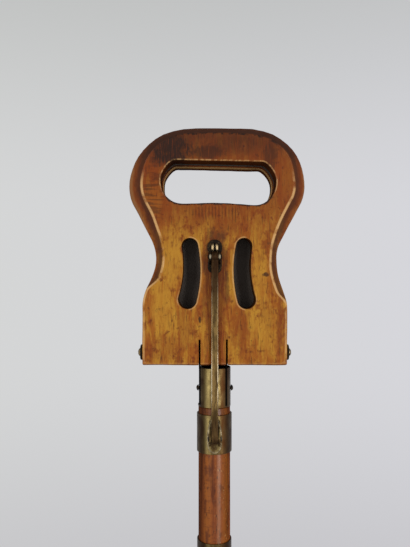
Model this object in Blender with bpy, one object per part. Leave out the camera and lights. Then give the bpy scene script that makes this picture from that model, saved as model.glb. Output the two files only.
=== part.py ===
"""Walking stick seat: a cane whose head opens into two seat boards.

Each board swings out on a rod held by two cheek plates in the head of the stick. A strut joins
each board to a collar, and the collar slides down the shaft onto a stop ring as the seat opens.
Metres, +Z up, the front board towards -Y, the origin under the middle of the tip.
"""
import math

import bmesh
import bpy
from mathutils import Matrix, Vector
from mathutils.geometry import interpolate_bezier

# Heights of the stick, from the ground
ROD_HEIGHT = 0.694
TIP_HEIGHT = 0.008
FERRULE_LENGTH = 0.058

# Clearances
FIT_GAP = 0.0003
EDGE_BREAK = 0.0006
FINE_BREAK = 0.0003
CUT_REACH = 0.002

# Shaft, its brass socket and its ferrule
SHAFT_RADIUS = 0.0141
SHAFT_TAPER_DROP = 0.200
SOCKET_RADIUS = 0.0145
SOCKET_WALL = 0.0010
SOCKET_DROP = 0.0150
SOCKET_LENGTH = 0.0344
SLIT_STOP = 0.0014
THINNEST_STRIP = 0.0008
FERRULE_TOP_RADIUS = 0.0105
FERRULE_FOOT_RADIUS = 0.0090
FERRULE_WALL = 0.0010
FERRULE_PIN_DROP = 0.010
TIP_FOOT_RADIUS = 0.0076
TIP_STEM_RADIUS = 0.0035
TIP_STEM_LENGTH = 0.024
PIN_HEAD_PROUD = 0.0004

# Cheek plates, let into saw cuts that sit a little left of the middle
CHEEK_THICKNESS = 0.0016
CHEEK_X = {"left": -0.0129, "right": 0.0103}
CHEEK_EYE_RADIUS = 0.0065
CHEEK_NECK_HALF = 0.0120
CHEEK_FOOT_INSET = 0.0001
CHEEK_BREAK = 0.0002
CHEEK_EYE_ANGLES = (math.radians(-50.0), math.radians(90.0))
RIVET_DROP = 0.0338
RIVET_RADIUS = 0.0015
RIVET_HEAD_RADIUS = 0.0027
RIVET_HEAD_HEIGHT = 0.0020

# Hinge rods
ROD_RADIUS = 0.0030
ROD_HEAD_RADIUS = 0.0034
ROD_HEAD_HEIGHT = 0.0019
WASHER_RADIUS = 0.0067
WASHER_THICKNESS = 0.0020

# Boards, measured from the hinge rod
BOARD_THICKNESS = 0.018
BOARD_GAP = 0.015
BOARD_TAIL = 0.0101
BOARD_TOP = 0.1925
BOARD_FOOT_CORNER = 0.0015
BASE_WIDTH = 0.1232
SHOULDER_RISE = 0.0400
WAIST_WIDTH = 0.1033
WAIST_RISE = 0.0810
HEAD_WIDTH = 0.1514
HEAD_RISE = 0.1430
TOP_FLAT_WIDTH = 0.038
FLANK_LOW = (0.0060, 0.0193)
FLANK_HIGH = (0.0037, 0.0161)
SHOULDER_HANDLE = 0.32
WAIST_HANDLES = (0.44, 0.42)
HEAD_HANDLE = 0.345
CROWN_HANDLE = 0.79
CHAMFER_HEAD = 0.0090
CHAMFER_WAIST = 0.0050
CHAMFER_SLOPE = 0.8
CHAMFER_STOP = {-1: 0.053, 1: 0.041}
CHAMFER_RUN_OUT = 0.012
KERF_RISE = 0.0122
GROOVE_RADIUS = 0.0080

# How far a board's middle line strays to the right of the stick, by height above the rod
BOARD_SWAY = ((0.055, 0.0), (0.081, 0.0014), (0.143, 0.0019), (0.185, 0.0030))

# Hand hole
HOLE_WIDTH = 0.0986
HOLE_BOTTOM = 0.1262
HOLE_TOP = 0.1650
HOLE_SHOULDER_IN = 0.0120
HOLE_SHOULDER_DOWN = 0.0160
HOLE_CORNER_IN = 0.0180
HOLE_CORNER_UP = 0.0190
HOLE_ARCH = 0.0012
HOLE_MOUTH = 0.0012
HOLE_ARCH_HANDLES = (0.45, 0.65)
HOLE_CORNER_HANDLE = 0.55
HOLE_SHOULDER_HANDLE = 0.4
HOLE_SHIFT = 0.0031
HOLE_TILT = math.radians(-1.5)

# Curved slots either side of the strut
SLOT_TOP = (0.0231, 0.0911)
SLOT_FOOT = (0.0252, 0.0456)
SLOT_BOW = 0.0026
SLOT_TOP_RADIUS = 0.0068
SLOT_FOOT_RADIUS = 0.0077
SLOT_MOUTH = 0.0006
SLOT_SHIFT = 0.0019

# Leather linings on the boards' inner faces
LINING_THICKNESS = 0.0020
LINING_MARGIN = 0.0015
LINING_START = 0.0160

# Lug on the board and its screws
LUG_RISE = 0.0820
LUG_PIN_STAND = 0.0065
LUG_PLATE_THICKNESS = 0.0015
LUG_TOP = 0.0147
LUG_FOOT = 0.0142
LUG_TOP_HALF = 0.0064
LUG_WAIST_HALF = 0.0056
LUG_FOOT_HALF = 0.0060
LUG_WAIST_RISE = 0.0031
LUG_ROUNDING = 0.6
LUG_EAR_TAILS = (-0.0070, 0.0049)
SCREW_RISES = {"upper": 0.0078, "lower": -0.0090}
SCREW_HEAD_RADII = {"upper": 0.0038, "lower": 0.0032}
SCREW_HEAD_HEIGHTS = {"upper": 0.0018, "lower": 0.0011}
SCREW_SHANK_RADIUS = 0.0014
SCREW_LENGTH = 0.0110
SCREW_SLOT_WIDTH = 0.0009
SCREW_SLOT_SHARE = 0.55

# Pivots
PIN_RADIUS = 0.0016
PIN_HEAD_RADIUS = 0.0023
PIN_HEAD_HEIGHT = 0.0009
EAR_THICKNESS = 0.0019
EAR_RADIUS = 0.0041
SIDE_PLAY = 0.0003

# Struts
STRUT_WIDTH = 0.0054
STRUT_DEPTH = 0.0045
STRUT_EYE_RADIUS = 0.0043
STRUT_EYE_BLEND = 0.0100
STRUT_EYE_OPENING = 1.6
STRUT_CHAMFER = 0.0006

# Collar, its clevises and the stop ring
COLLAR_WALL = 0.0011
COLLAR_DROP = 0.0556
COLLAR_LENGTH = 0.0338
CLEVIS_PIN_DROP = 0.0184
CLEVIS_REACH = 0.0060
SADDLE_STAND = 0.0012
SADDLE_HALF = 0.0067
SADDLE_END_MARGIN = 0.0012
SADDLE_WIDEST_DROP = 0.0028
SADDLE_FOOT_HANDLES = (0.70, 0.65)
SADDLE_TOP_HANDLES = (0.40, 0.62)
CLEVIS_EAR_TAILS = (-0.0078, 0.0151)
STOP_RING_HEIGHT = 0.0120
STOP_RING_WALL = 0.0009

# The seat opens until both boards lie level
OPEN_ANGLE = math.radians(90.0)

# Fineness of the round shapes
ROUND_LARGE = 36
ROUND_SMALL = 14
CURVE_STEPS = 6
ARC_STEPS = 4
DOME_STEPS = 3
WELD = 1e-6
SMOOTH_ANGLE = math.radians(32.0)

# Places that follow from the sizes above
ROD_OFFSET = (BOARD_GAP + BOARD_THICKNESS) / 2
COLLAR_BORE = SHAFT_RADIUS + FIT_GAP
COLLAR_RADIUS = COLLAR_BORE + COLLAR_WALL
CLEVIS_PIN_OUT = COLLAR_RADIUS + CLEVIS_REACH
CLEVIS_PIN_HEIGHT = ROD_HEIGHT - COLLAR_DROP - CLEVIS_PIN_DROP
LUG_PIN_OUT = BOARD_THICKNESS / 2 + LUG_PIN_STAND
EAR_INNER = STRUT_WIDTH / 2 + SIDE_PLAY
EAR_OUTER = EAR_INNER + EAR_THICKNESS
SIDES = {"front": 0.0, "back": math.pi}
MIRROR = {"front": 1.0, "back": -1.0}
HANDS = ((-1, "left"), (1, "right"))

FINISHES = {
    "walnut_stain": ((0.42, 0.17, 0.05), 0.42, 0.0),
    "cane": ((0.30, 0.10, 0.04), 0.35, 0.0),
    "brass": ((0.45, 0.36, 0.14), 0.38, 1.0),
    "iron": ((0.10, 0.09, 0.08), 0.48, 1.0),
    "leather": ((0.03, 0.026, 0.022), 0.72, 0.0),
}


def clear_scene():
    for item in list(bpy.data.objects):
        bpy.data.objects.remove(item, do_unlink=True)


def material(finish):
    """One Principled material for each finish, shared by the pieces that have it."""
    if finish in bpy.data.materials:
        return bpy.data.materials[finish]
    made = bpy.data.materials.new(finish)
    made.use_nodes = True
    color, roughness, metallic = FINISHES[finish]
    shader = made.node_tree.nodes["Principled BSDF"]
    shader.inputs["Base Color"].default_value = (*color, 1.0)
    shader.inputs["Roughness"].default_value = roughness
    shader.inputs["Metallic"].default_value = metallic
    return made


def add_empty(name, location, turn=0.0, parent=None):
    """A joint's frame: its origin lies on the joint's axis."""
    made = bpy.data.objects.new(name, None)
    bpy.context.collection.objects.link(made)
    made.location = location
    made.rotation_euler.z = turn
    made.parent = parent
    return made


def add_object(name, bm, parent, finish=None, location=(0, 0, 0), rotation=(0, 0, 0)):
    """Link a finished mesh; without a finish it is a cutter, drawn as wire and never rendered."""
    bmesh.ops.remove_doubles(bm, verts=bm.verts, dist=WELD)
    bmesh.ops.recalc_face_normals(bm, faces=bm.faces)
    mesh = bpy.data.meshes.new(name)
    bm.to_mesh(mesh)
    bm.free()
    made = bpy.data.objects.new(name, mesh)
    bpy.context.collection.objects.link(made)
    made.parent = parent
    made.location = location
    made.rotation_euler = rotation
    if finish is None:
        made.hide_render = True
        made.display_type = "WIRE"
    else:
        mesh.materials.append(material(finish))
        mesh.shade_smooth()
        mesh.set_sharp_from_angle(angle=SMOOTH_ANGLE)
    return made


def combine(target, operands, operation="DIFFERENCE"):
    """Cut the operands from the target, or join them to it."""
    for operand in operands:
        modifier = target.modifiers.new(operand.name, "BOOLEAN")
        modifier.operation = operation
        modifier.solver = "EXACT"
        modifier.object = operand


def turned(profile, segments, closed=False):
    """Revolve (radius, height) points about Z; a closed profile makes a ring."""
    bm = bmesh.new()
    verts = [bm.verts.new((radius, 0, height)) for radius, height in profile]
    pairs = list(zip(verts, verts[1:]))
    if closed:
        pairs.append((verts[-1], verts[0]))
    edges = [bm.edges.new(pair) for pair in pairs]
    bmesh.ops.spin(bm, geom=verts + edges, cent=(0, 0, 0), axis=(0, 0, 1),
                   angle=math.tau, steps=segments, use_merge=True)
    return bm


def along_x(bm):
    """Lay a body turned about Z along +X."""
    bmesh.ops.rotate(bm, verts=bm.verts, cent=(0, 0, 0), matrix=Matrix.Rotation(math.pi / 2, 3, "Y"))
    return bm


def outward_y(bm):
    """Lay a body turned about Z so that its top faces -Y."""
    bmesh.ops.rotate(bm, verts=bm.verts, cent=(0, 0, 0), matrix=Matrix.Rotation(math.pi / 2, 3, "X"))
    return bm


def rod(radius, start, end, segments=ROUND_SMALL):
    """A plain round bar about Z."""
    return turned([(0, start), (radius, start), (radius, end), (0, end)], segments)


def box(low, high):
    bm = bmesh.new()
    size = [top - bottom for bottom, top in zip(low, high)]
    middle = [(top + bottom) / 2 for bottom, top in zip(low, high)]
    bmesh.ops.create_cube(bm, size=1.0, matrix=Matrix.Translation(middle) @ Matrix.Diagonal((*size, 1.0)))
    return bm


def dome(radius, height, base, steps=DOME_STEPS):
    """Profile of a domed head from its rim to its middle, above the height called base."""
    angles = [math.pi / 2 * step / steps for step in range(steps + 1)]
    return [(radius * math.cos(angle), base + height * math.sin(angle)) for angle in angles]


def curve(knots, steps=CURVE_STEPS):
    """Points along joined Bezier spans of four knots each; a span of two knots is straight."""
    points = []
    for span in knots:
        spots = [Vector(spot).to_3d() for spot in span]
        if len(spots) == 4:
            points += [spot.to_2d() for spot in interpolate_bezier(*spots, steps + 1)[:-1]]
        else:
            points.append(spots[0].to_2d())
    return points


def mirrored(half):
    """Close a right-hand half outline, given from the bottom up, with its mirror image."""
    return half + [Vector((-point.x, point.y)) for point in reversed(half)]


def outward_normals(outline):
    """Unit normals of a closed outline that runs anticlockwise."""
    normals = []
    for index, point in enumerate(outline):
        ahead = (outline[(index + 1) % len(outline)] - point).normalized()
        behind = (point - outline[index - 1]).normalized()
        along = ahead + behind
        normals.append(Vector((along.y, -along.x)).normalized())
    return normals


def lofted(outline, levels, place):
    """Solid through copies of an outline, each (depth, growth) fixed or a function of the point."""
    bm = bmesh.new()
    normals = outward_normals(outline)
    rings = []
    for depth, growth in levels:
        ring = []
        for point, normal in zip(outline, normals):
            spot = point + normal * (growth(point) if callable(growth) else growth)
            level = depth(point) if callable(depth) else depth
            ring.append(bm.verts.new(place(spot, level)))
        rings.append(ring)
    for ring, following in zip(rings, rings[1:]):
        for index in range(len(ring)):
            after = (index + 1) % len(ring)
            bm.faces.new((ring[index], ring[after], following[after], following[index]))
    bm.faces.new(rings[0])
    bm.faces.new(reversed(rings[-1]))
    return bm


def facing_y(spot, level):
    return (spot.x, level, spot.y)


def facing_x(spot, level):
    return (level, spot.x, spot.y)


def slab(outline, near, far, chamfer, place=facing_y):
    """A plate between two depths with the same chamfer along both faces."""
    levels = [(near, -chamfer), (near + chamfer, 0.0), (far - chamfer, 0.0), (far, -chamfer)]
    return lofted(outline, levels, place)


def flared_cutter(outline, half_depth, mouth, place=facing_y):
    """A cutter that opens out at both faces, so the hole's edges come out chamfered."""
    end = half_depth + CUT_REACH
    throat = half_depth - mouth
    flare = mouth + CUT_REACH
    levels = [(-end, flare), (-throat, 0.0), (throat, 0.0), (end, flare)]
    return lofted(outline, levels, place)


def eased(value, start, length):
    """Smooth rise from 0 to 1 over the length that follows start."""
    share = min(max((value - start) / length, 0.0), 1.0)
    return share * share * (3.0 - 2.0 * share)


def sway(height):
    """How far a board's middle line lies to the right at a height above the rod."""
    shift = BOARD_SWAY[0][1]
    for (low, start), (high, end) in zip(BOARD_SWAY, BOARD_SWAY[1:]):
        shift += (end - start) * eased(height, low, high - low)
    return shift


def board_outline(mirror):
    """The boards' outline: square base, narrow waist and broad round head, as the front board has it.

    Seen from behind, where mirror is -1, the stray of its middle line is the other way.
    """
    base, waist, head = BASE_WIDTH / 2, WAIST_WIDTH / 2, HEAD_WIDTH / 2
    flat, corner, foot = TOP_FLAT_WIDTH / 2, BOARD_FOOT_CORNER, -BOARD_TAIL
    low = Vector((waist + FLANK_LOW[0], WAIST_RISE + FLANK_LOW[1]))
    high = Vector((head - FLANK_HIGH[0], HEAD_RISE - FLANK_HIGH[1]))
    flank = (high - low).normalized()
    low_handle = low - flank * FLANK_LOW[1] / 3
    high_handle = high + flank * FLANK_HIGH[1] / 3
    fall = WAIST_RISE - SHOULDER_RISE
    crown = BOARD_TOP - HEAD_RISE
    spans = [
        ((base - corner, foot), (base - corner / 2, foot), (base, foot + corner / 2), (base, foot + corner)),
        ((base, foot + corner), (base, SHOULDER_RISE)),
        ((base, SHOULDER_RISE), (base, SHOULDER_RISE + fall * SHOULDER_HANDLE),
         (waist, WAIST_RISE - fall * WAIST_HANDLES[0]), (waist, WAIST_RISE)),
        ((waist, WAIST_RISE), (waist, WAIST_RISE + FLANK_LOW[1] * WAIST_HANDLES[1]), low_handle, low),
        (low, high),
        (high, high_handle, (head, HEAD_RISE - FLANK_HIGH[1] / 3), (head, HEAD_RISE)),
        ((head, HEAD_RISE), (head, HEAD_RISE + crown * HEAD_HANDLE),
         (flat + (head - flat) * CROWN_HANDLE, BOARD_TOP), (flat, BOARD_TOP)),
        ((flat, BOARD_TOP), (0.0, BOARD_TOP)),
    ]
    return [Vector((point.x + mirror * sway(point.y), point.y)) for point in mirrored(curve(spans))]


def chamfer_width(point):
    """The wide chamfer of the outer face: broad round the head, narrower at the waist, stopped below."""
    stop = CHAMFER_STOP[-1 if point.x < 0 else 1]
    spread = eased(point.y, WAIST_RISE, HEAD_RISE - WAIST_RISE)
    full = CHAMFER_WAIST + (CHAMFER_HEAD - CHAMFER_WAIST) * spread
    return EDGE_BREAK + (full - EDGE_BREAK) * eased(point.y, stop, CHAMFER_RUN_OUT)


def hand_hole_outline(mirror):
    """The hand hole: slanting upper corners, round lower ones and a slightly arched lower edge."""
    side = HOLE_WIDTH / 2
    low = side - HOLE_CORNER_IN
    arch = HOLE_BOTTOM + HOLE_ARCH
    corner = HOLE_BOTTOM + HOLE_CORNER_UP
    shoulder = (side, HOLE_TOP - HOLE_SHOULDER_DOWN)
    crown = (side - HOLE_SHOULDER_IN, HOLE_TOP)
    spans = [
        ((0.0, arch), (low * HOLE_ARCH_HANDLES[0], arch),
         (low * HOLE_ARCH_HANDLES[1], HOLE_BOTTOM), (low, HOLE_BOTTOM)),
        ((low, HOLE_BOTTOM), (low + HOLE_CORNER_IN * HOLE_CORNER_HANDLE, HOLE_BOTTOM),
         (side, corner - HOLE_CORNER_UP * HOLE_CORNER_HANDLE), (side, corner)),
        ((side, corner), shoulder),
        (shoulder, (side, shoulder[1] + HOLE_SHOULDER_DOWN * HOLE_SHOULDER_HANDLE),
         (crown[0] + HOLE_SHOULDER_IN * HOLE_SHOULDER_HANDLE, HOLE_TOP), crown),
        (crown, (0.0, HOLE_TOP)),
    ]
    middle = Vector((0.0, (HOLE_BOTTOM + HOLE_TOP) / 2))
    place = middle + Vector((mirror * HOLE_SHIFT, 0.0))
    turn = Matrix.Rotation(mirror * HOLE_TILT, 2)
    return [place + turn @ (point - middle) for point in mirrored(curve(spans))[1:]]


def slot_outline(hand, mirror):
    """A curved slot, bowed towards the strut, with round ends."""
    top, foot = Vector(SLOT_TOP), Vector(SLOT_FOOT)
    chord = top - foot
    inward = Vector((-chord.y, chord.x)).normalized()
    bow = inward * SLOT_BOW * 4.0
    right, left = [], []
    for step in range(CURVE_STEPS + 1):
        share = step / CURVE_STEPS
        middle = foot + chord * share + bow * share * (1.0 - share)
        reach = SLOT_FOOT_RADIUS + (SLOT_TOP_RADIUS - SLOT_FOOT_RADIUS) * share
        slope = (chord + bow * (1.0 - 2.0 * share)).normalized()
        across = Vector((slope.y, -slope.x))
        right.append(middle + across * reach)
        left.append(middle - across * reach)
    ends = []
    for middle, rim in ((top, right[-1]), (foot, left[0])):
        spoke = rim - middle
        ends.append([middle + Matrix.Rotation(math.pi * step / (2 * ARC_STEPS), 2) @ spoke
                     for step in range(1, 2 * ARC_STEPS)])
    outline = right + ends[0] + left[::-1] + ends[1]
    if hand < 0:
        outline = [Vector((-point.x, point.y)) for point in reversed(outline)]
    shift = Vector((mirror * SLOT_SHIFT, 0.0))
    return [point + shift for point in outline]


def strut_line():
    """Rest place of the strut beside a board: its length and its lean towards the shaft."""
    across = ROD_OFFSET + LUG_PIN_OUT - CLEVIS_PIN_OUT
    down = ROD_HEIGHT + LUG_RISE - CLEVIS_PIN_HEIGHT
    return math.hypot(across, down), math.atan2(across, down)


def collar_travel():
    """How far the collar slides down when the boards open from rest to the open angle."""
    length, _ = strut_line()
    cos, sin = math.cos(OPEN_ANGLE), math.sin(OPEN_ANGLE)
    pin_out = ROD_OFFSET + LUG_PIN_OUT * cos + LUG_RISE * sin
    pin_height = ROD_HEIGHT + LUG_RISE * cos - LUG_PIN_OUT * sin
    open_height = pin_height - math.sqrt(length ** 2 - (pin_out - CLEVIS_PIN_OUT) ** 2)
    return CLEVIS_PIN_HEIGHT - open_height


def make_board(side, fold):
    """A seat board with its hand hole, slots, saw cuts, rod bore, strut groove and screw holes."""
    half = BOARD_THICKNESS / 2
    name, mirror = f"{side}_board", MIRROR[side]
    levels = [
        (half, -EDGE_BREAK),
        (half - EDGE_BREAK, 0.0),
        (lambda point: chamfer_width(point) * CHAMFER_SLOPE - half, 0.0),
        (-half, lambda point: -chamfer_width(point)),
    ]
    board = add_object(name, lofted(board_outline(mirror), levels, facing_y), fold, "walnut_stain")
    cutters = [
        add_object(f"{name}_hand_hole", flared_cutter(hand_hole_outline(mirror), half, HOLE_MOUTH), fold),
        add_object(f"{name}_rod_bore", along_x(rod(ROD_RADIUS + FIT_GAP, -BASE_WIDTH, BASE_WIDTH)), fold),
        add_object(f"{name}_strut_groove", groove_cutter(), fold),
    ]
    for hand, label in HANDS:
        slot = flared_cutter(slot_outline(hand, mirror), half, SLOT_MOUTH)
        cutters.append(add_object(f"{name}_slot_{label}", slot, fold))
    for label, cheek in CHEEK_X.items():
        middle = cheek * mirror
        reach = CHEEK_THICKNESS / 2 + FIT_GAP
        kerf = box((middle - reach, -half - CUT_REACH, -BOARD_TAIL - CUT_REACH),
                   (middle + reach, half + CUT_REACH, KERF_RISE))
        cutters.append(add_object(f"{name}_kerf_{label}", kerf, fold))
    for label, rise in SCREW_RISES.items():
        hole = outward_y(rod(SCREW_SHANK_RADIUS + FIT_GAP, -SCREW_LENGTH - FIT_GAP, CUT_REACH))
        place = (0, -half, LUG_RISE + rise)
        cutters.append(add_object(f"{name}_screw_hole_{label}", hole, fold, location=place))
    combine(board, cutters)


def groove_cutter():
    """A round-bottomed groove that makes room for the folded strut at the foot of the board."""
    length, lean = strut_line()
    side_clearance = STRUT_DEPTH / 2 + FIT_GAP
    edge_rise = GROOVE_RADIUS - math.sqrt(GROOVE_RADIUS ** 2 - (STRUT_WIDTH / 2) ** 2)
    bm = rod(GROOVE_RADIUS, -length, 0.0, ROUND_LARGE)
    shift = side_clearance + edge_rise - GROOVE_RADIUS
    bmesh.ops.translate(bm, verts=bm.verts, vec=(0, shift, 0))
    bmesh.ops.rotate(bm, verts=bm.verts, cent=(0, 0, 0), matrix=Matrix.Rotation(lean, 3, "X"))
    bmesh.ops.translate(bm, verts=bm.verts, vec=(0, -LUG_PIN_OUT, LUG_RISE))
    return bm


def make_lining(side, fold):
    """Leather on the board's inner face, cut away round the hand hole and at the hinge."""
    half = BOARD_THICKNESS / 2
    near = half + FIT_GAP
    far = near + LINING_THICKNESS
    name, mirror = f"{side}_lining", MIRROR[side]
    levels = [(near, -LINING_MARGIN), (far, -LINING_MARGIN)]
    lining = add_object(name, lofted(board_outline(mirror), levels, facing_y), fold, "leather")
    start, end = near - CUT_REACH, far + CUT_REACH
    hole = lofted(hand_hole_outline(mirror), [(start, LINING_MARGIN), (end, LINING_MARGIN)], facing_y)
    hinge_clearance = box((-HEAD_WIDTH, start, -BOARD_TOP), (HEAD_WIDTH, end, LINING_START))
    cutters = [
        add_object(f"{name}_hand_hole", hole, fold),
        add_object(f"{name}_hinge_clearance", hinge_clearance, fold),
    ]
    combine(lining, cutters)


def make_hinge_rod(side, fold):
    """The rod through the board and both cheeks, its ends hammered into heads over washers."""
    seat = BASE_WIDTH / 2 + FIT_GAP
    head = seat + WASHER_THICKNESS + FIT_GAP
    upper = dome(ROD_HEAD_RADIUS, ROD_HEAD_HEIGHT, head)
    lower = [(radius, -height) for radius, height in reversed(upper)]
    profile = lower + [(ROD_RADIUS, -head), (ROD_RADIUS, head)] + upper
    add_object(f"{side}_hinge_rod", along_x(turned(profile, ROUND_SMALL)), fold, "iron")
    bore = ROD_RADIUS + FIT_GAP
    for hand, label in HANDS:
        ring = chamfered_ring(bore, WASHER_RADIUS, 0.0, WASHER_THICKNESS, EDGE_BREAK)
        washer = along_x(turned(ring, ROUND_SMALL, closed=True))
        turn = 0.0 if hand > 0 else math.pi
        add_object(f"{side}_washer_{label}", washer, fold, "iron",
                   location=(hand * seat, 0, 0), rotation=(0, 0, turn))


def chamfered_ring(bore, radius, foot, top, chamfer):
    """Closed profile of a ring whose outer edges are chamfered."""
    return [
        (bore, foot), (radius - chamfer, foot), (radius, foot + chamfer),
        (radius, top - chamfer), (radius - chamfer, top), (bore, top),
    ]


def lug_outline():
    """The lug's plate, measured from its pin: two lobes with a slight waist between them."""
    upper, lower, waist = SCREW_RISES["upper"], SCREW_RISES["lower"], LUG_WAIST_RISE
    below, above = (lower + waist) / 2, (waist + upper) / 2
    spans = [
        ((0.0, -LUG_FOOT), (LUG_FOOT_HALF * LUG_ROUNDING, -LUG_FOOT),
         (LUG_FOOT_HALF, lower - (lower + LUG_FOOT) * LUG_ROUNDING), (LUG_FOOT_HALF, lower)),
        ((LUG_FOOT_HALF, lower), (LUG_FOOT_HALF, below), (LUG_WAIST_HALF, below), (LUG_WAIST_HALF, waist)),
        ((LUG_WAIST_HALF, waist), (LUG_WAIST_HALF, above), (LUG_TOP_HALF, above), (LUG_TOP_HALF, upper)),
        ((LUG_TOP_HALF, upper), (LUG_TOP_HALF, upper + (LUG_TOP - upper) * LUG_ROUNDING),
         (LUG_TOP_HALF * LUG_ROUNDING, LUG_TOP), (0.0, LUG_TOP)),
    ]
    return mirrored(curve(spans, ARC_STEPS))[1:]


def ear_plate(outline, hand):
    """One ear beside the strut, cut to an outline in the plane that faces X."""
    bm = slab(outline, EAR_INNER, EAR_OUTER, FINE_BREAK, facing_x)
    if hand < 0:
        bmesh.ops.translate(bm, verts=bm.verts, vec=(-EAR_INNER - EAR_OUTER, 0, 0))
    return bm


def round_nose(tails, radius, steps=2 * ARC_STEPS):
    """Outline of an ear: an arc about the pin, closed by straight lines to its tails.

    The nose points to -Y, and the tails run anticlockwise from the lowest to the highest.
    """
    low, high = Vector(tails[0]), Vector(tails[-1])
    start = tangent_angle(high, radius, 1.0)
    end = tangent_angle(low, radius, -1.0)
    if end < start:
        end += math.tau
    points = []
    for step in range(steps + 1):
        angle = start + (end - start) * step / steps
        points.append(Vector((radius * math.cos(angle), radius * math.sin(angle))))
    return points + [Vector(tail) for tail in tails]


def tangent_angle(spot, radius, hand):
    """Direction from a circle's middle to where a line from the spot touches it."""
    return math.atan2(spot.y, spot.x) + hand * math.acos(min(radius / spot.length, 1.0))


def add_ears(name, heights, root, parent, place):
    """Both ears of a lug or clevis, each rooted at two heights of its base; place is their pin's."""
    outline = round_nose([(root, height) for height in heights], EAR_RADIUS)
    return [add_object(f"{name}_ear_{label}", ear_plate(outline, hand), parent, location=place)
            for hand, label in HANDS]


def make_lug(side, fold):
    """The lug on the board: a plate with two ears for the strut's upper eye."""
    name = f"{side}_lug"
    face = -BOARD_THICKNESS / 2
    near = face - FIT_GAP
    far = near - LUG_PLATE_THICKNESS
    origin = (0, -LUG_PIN_OUT, LUG_RISE)
    plate_near, plate_far = near + LUG_PIN_OUT, far + LUG_PIN_OUT
    plate = slab(lug_outline(), plate_far, plate_near, FINE_BREAK)
    lug = add_object(name, plate, fold, "iron", origin)
    root = (plate_near + plate_far) / 2
    combine(lug, add_ears(name, LUG_EAR_TAILS, root, fold, origin), "UNION")
    bore = along_x(rod(PIN_RADIUS + FIT_GAP, -EAR_OUTER - CUT_REACH, EAR_OUTER + CUT_REACH))
    cutters = [add_object(f"{name}_bore", bore, fold, location=origin)]
    for label, rise in SCREW_RISES.items():
        hole = outward_y(rod(SCREW_SHANK_RADIUS + FIT_GAP, -CUT_REACH, LUG_PLATE_THICKNESS + CUT_REACH))
        place = (0, near, LUG_RISE + rise)
        cutters.append(add_object(f"{name}_screw_hole_{label}", hole, fold, location=place))
        make_screw(f"{name}_screw_{label}", fold, label, (0, far - FIT_GAP, LUG_RISE + rise))
    combine(lug, cutters)
    add_object(f"{name}_pin", along_x(headed_pin(EAR_OUTER + FIT_GAP)), fold, "iron", origin)


def make_screw(name, fold, label, place):
    """A slotted screw whose head sits on the lug and whose shank runs into the board."""
    radius, height = SCREW_HEAD_RADII[label], SCREW_HEAD_HEIGHTS[label]
    profile = [(0, -SCREW_LENGTH), (SCREW_SHANK_RADIUS, -SCREW_LENGTH), (SCREW_SHANK_RADIUS, 0)]
    screw = add_object(name, outward_y(turned(profile + dome(radius, height, 0.0), ROUND_SMALL)), fold,
                       "iron", place)
    depth = height * SCREW_SLOT_SHARE
    slot = box((-SCREW_SLOT_WIDTH / 2, -height - CUT_REACH, -radius - CUT_REACH),
               (SCREW_SLOT_WIDTH / 2, depth - height, radius + CUT_REACH))
    combine(screw, [add_object(f"{name}_slot", slot, fold, location=place)])


def headed_pin(seat):
    """A pin about Z with a low hammered head beyond each seat."""
    upper = dome(PIN_HEAD_RADIUS, PIN_HEAD_HEIGHT, seat)
    lower = [(radius, -height) for radius, height in reversed(upper)]
    return turned(lower + [(PIN_RADIUS, -seat), (PIN_RADIUS, seat)] + upper, ROUND_SMALL)


def strut_outline(length):
    """A flat bar with a round eye at each end, seen from the side; the upper eye is at the origin."""
    eye, half = STRUT_EYE_RADIUS, STRUT_DEPTH / 2
    start = math.asin(half / eye) * STRUT_EYE_OPENING
    steps = 2 * ARC_STEPS
    lower = []
    for step in range(steps + 1):
        angle = start + (math.tau - 2 * start) * step / steps
        lower.append(Vector((-eye * math.sin(angle), eye * math.cos(angle) - length)))
    upper = [Vector((-point.x, -point.y - length)) for point in lower]
    neck = [Vector((half, STRUT_EYE_BLEND - length)), Vector((half, -STRUT_EYE_BLEND))]
    other = [Vector((-half, -STRUT_EYE_BLEND)), Vector((-half, STRUT_EYE_BLEND - length))]
    return lower + neck + upper + other


def make_strut(side, pivot):
    """The strut, hung from the lug's pin, with the middle of the clevis pin held in its lower eye."""
    length, lean = strut_line()
    name = f"{side}_strut"
    bar = slab(strut_outline(length), -STRUT_WIDTH / 2, STRUT_WIDTH / 2, STRUT_CHAMFER, facing_x)
    strut = add_object(name, bar, pivot, "brass", rotation=(lean, 0, 0))
    cutters = []
    for label, height in (("upper", 0.0), ("lower", -length)):
        bore = along_x(rod(PIN_RADIUS + FIT_GAP, -STRUT_WIDTH, STRUT_WIDTH))
        bmesh.ops.translate(bore, verts=bore.verts, vec=(0, 0, height))
        cutters.append(add_object(f"{name}_bore_{label}", bore, pivot, rotation=(lean, 0, 0)))
    combine(strut, cutters)
    reach = STRUT_WIDTH / 2 - FIT_GAP / 2
    core = along_x(rod(PIN_RADIUS, -reach, reach))
    bmesh.ops.translate(core, verts=core.verts, vec=(0, 0, -length))
    add_object(f"{name}_pin_core", core, pivot, "iron", rotation=(lean, 0, 0))


def saddle_outline():
    """The clevis's base on the collar, measured from its pin: a drop with blunt ends."""
    top = CLEVIS_PIN_DROP - SADDLE_END_MARGIN
    foot = CLEVIS_PIN_DROP - COLLAR_LENGTH + SADDLE_END_MARGIN
    side, widest = SADDLE_HALF, -SADDLE_WIDEST_DROP
    out, up = SADDLE_FOOT_HANDLES
    rise, inward = SADDLE_TOP_HANDLES
    spans = [
        ((0.0, foot), (side * out, foot), (side, foot * up), (side, widest)),
        ((side, widest), (side, top * rise), (side * inward, top), (0.0, top)),
    ]
    return mirrored(curve(spans))[1:]


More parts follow.
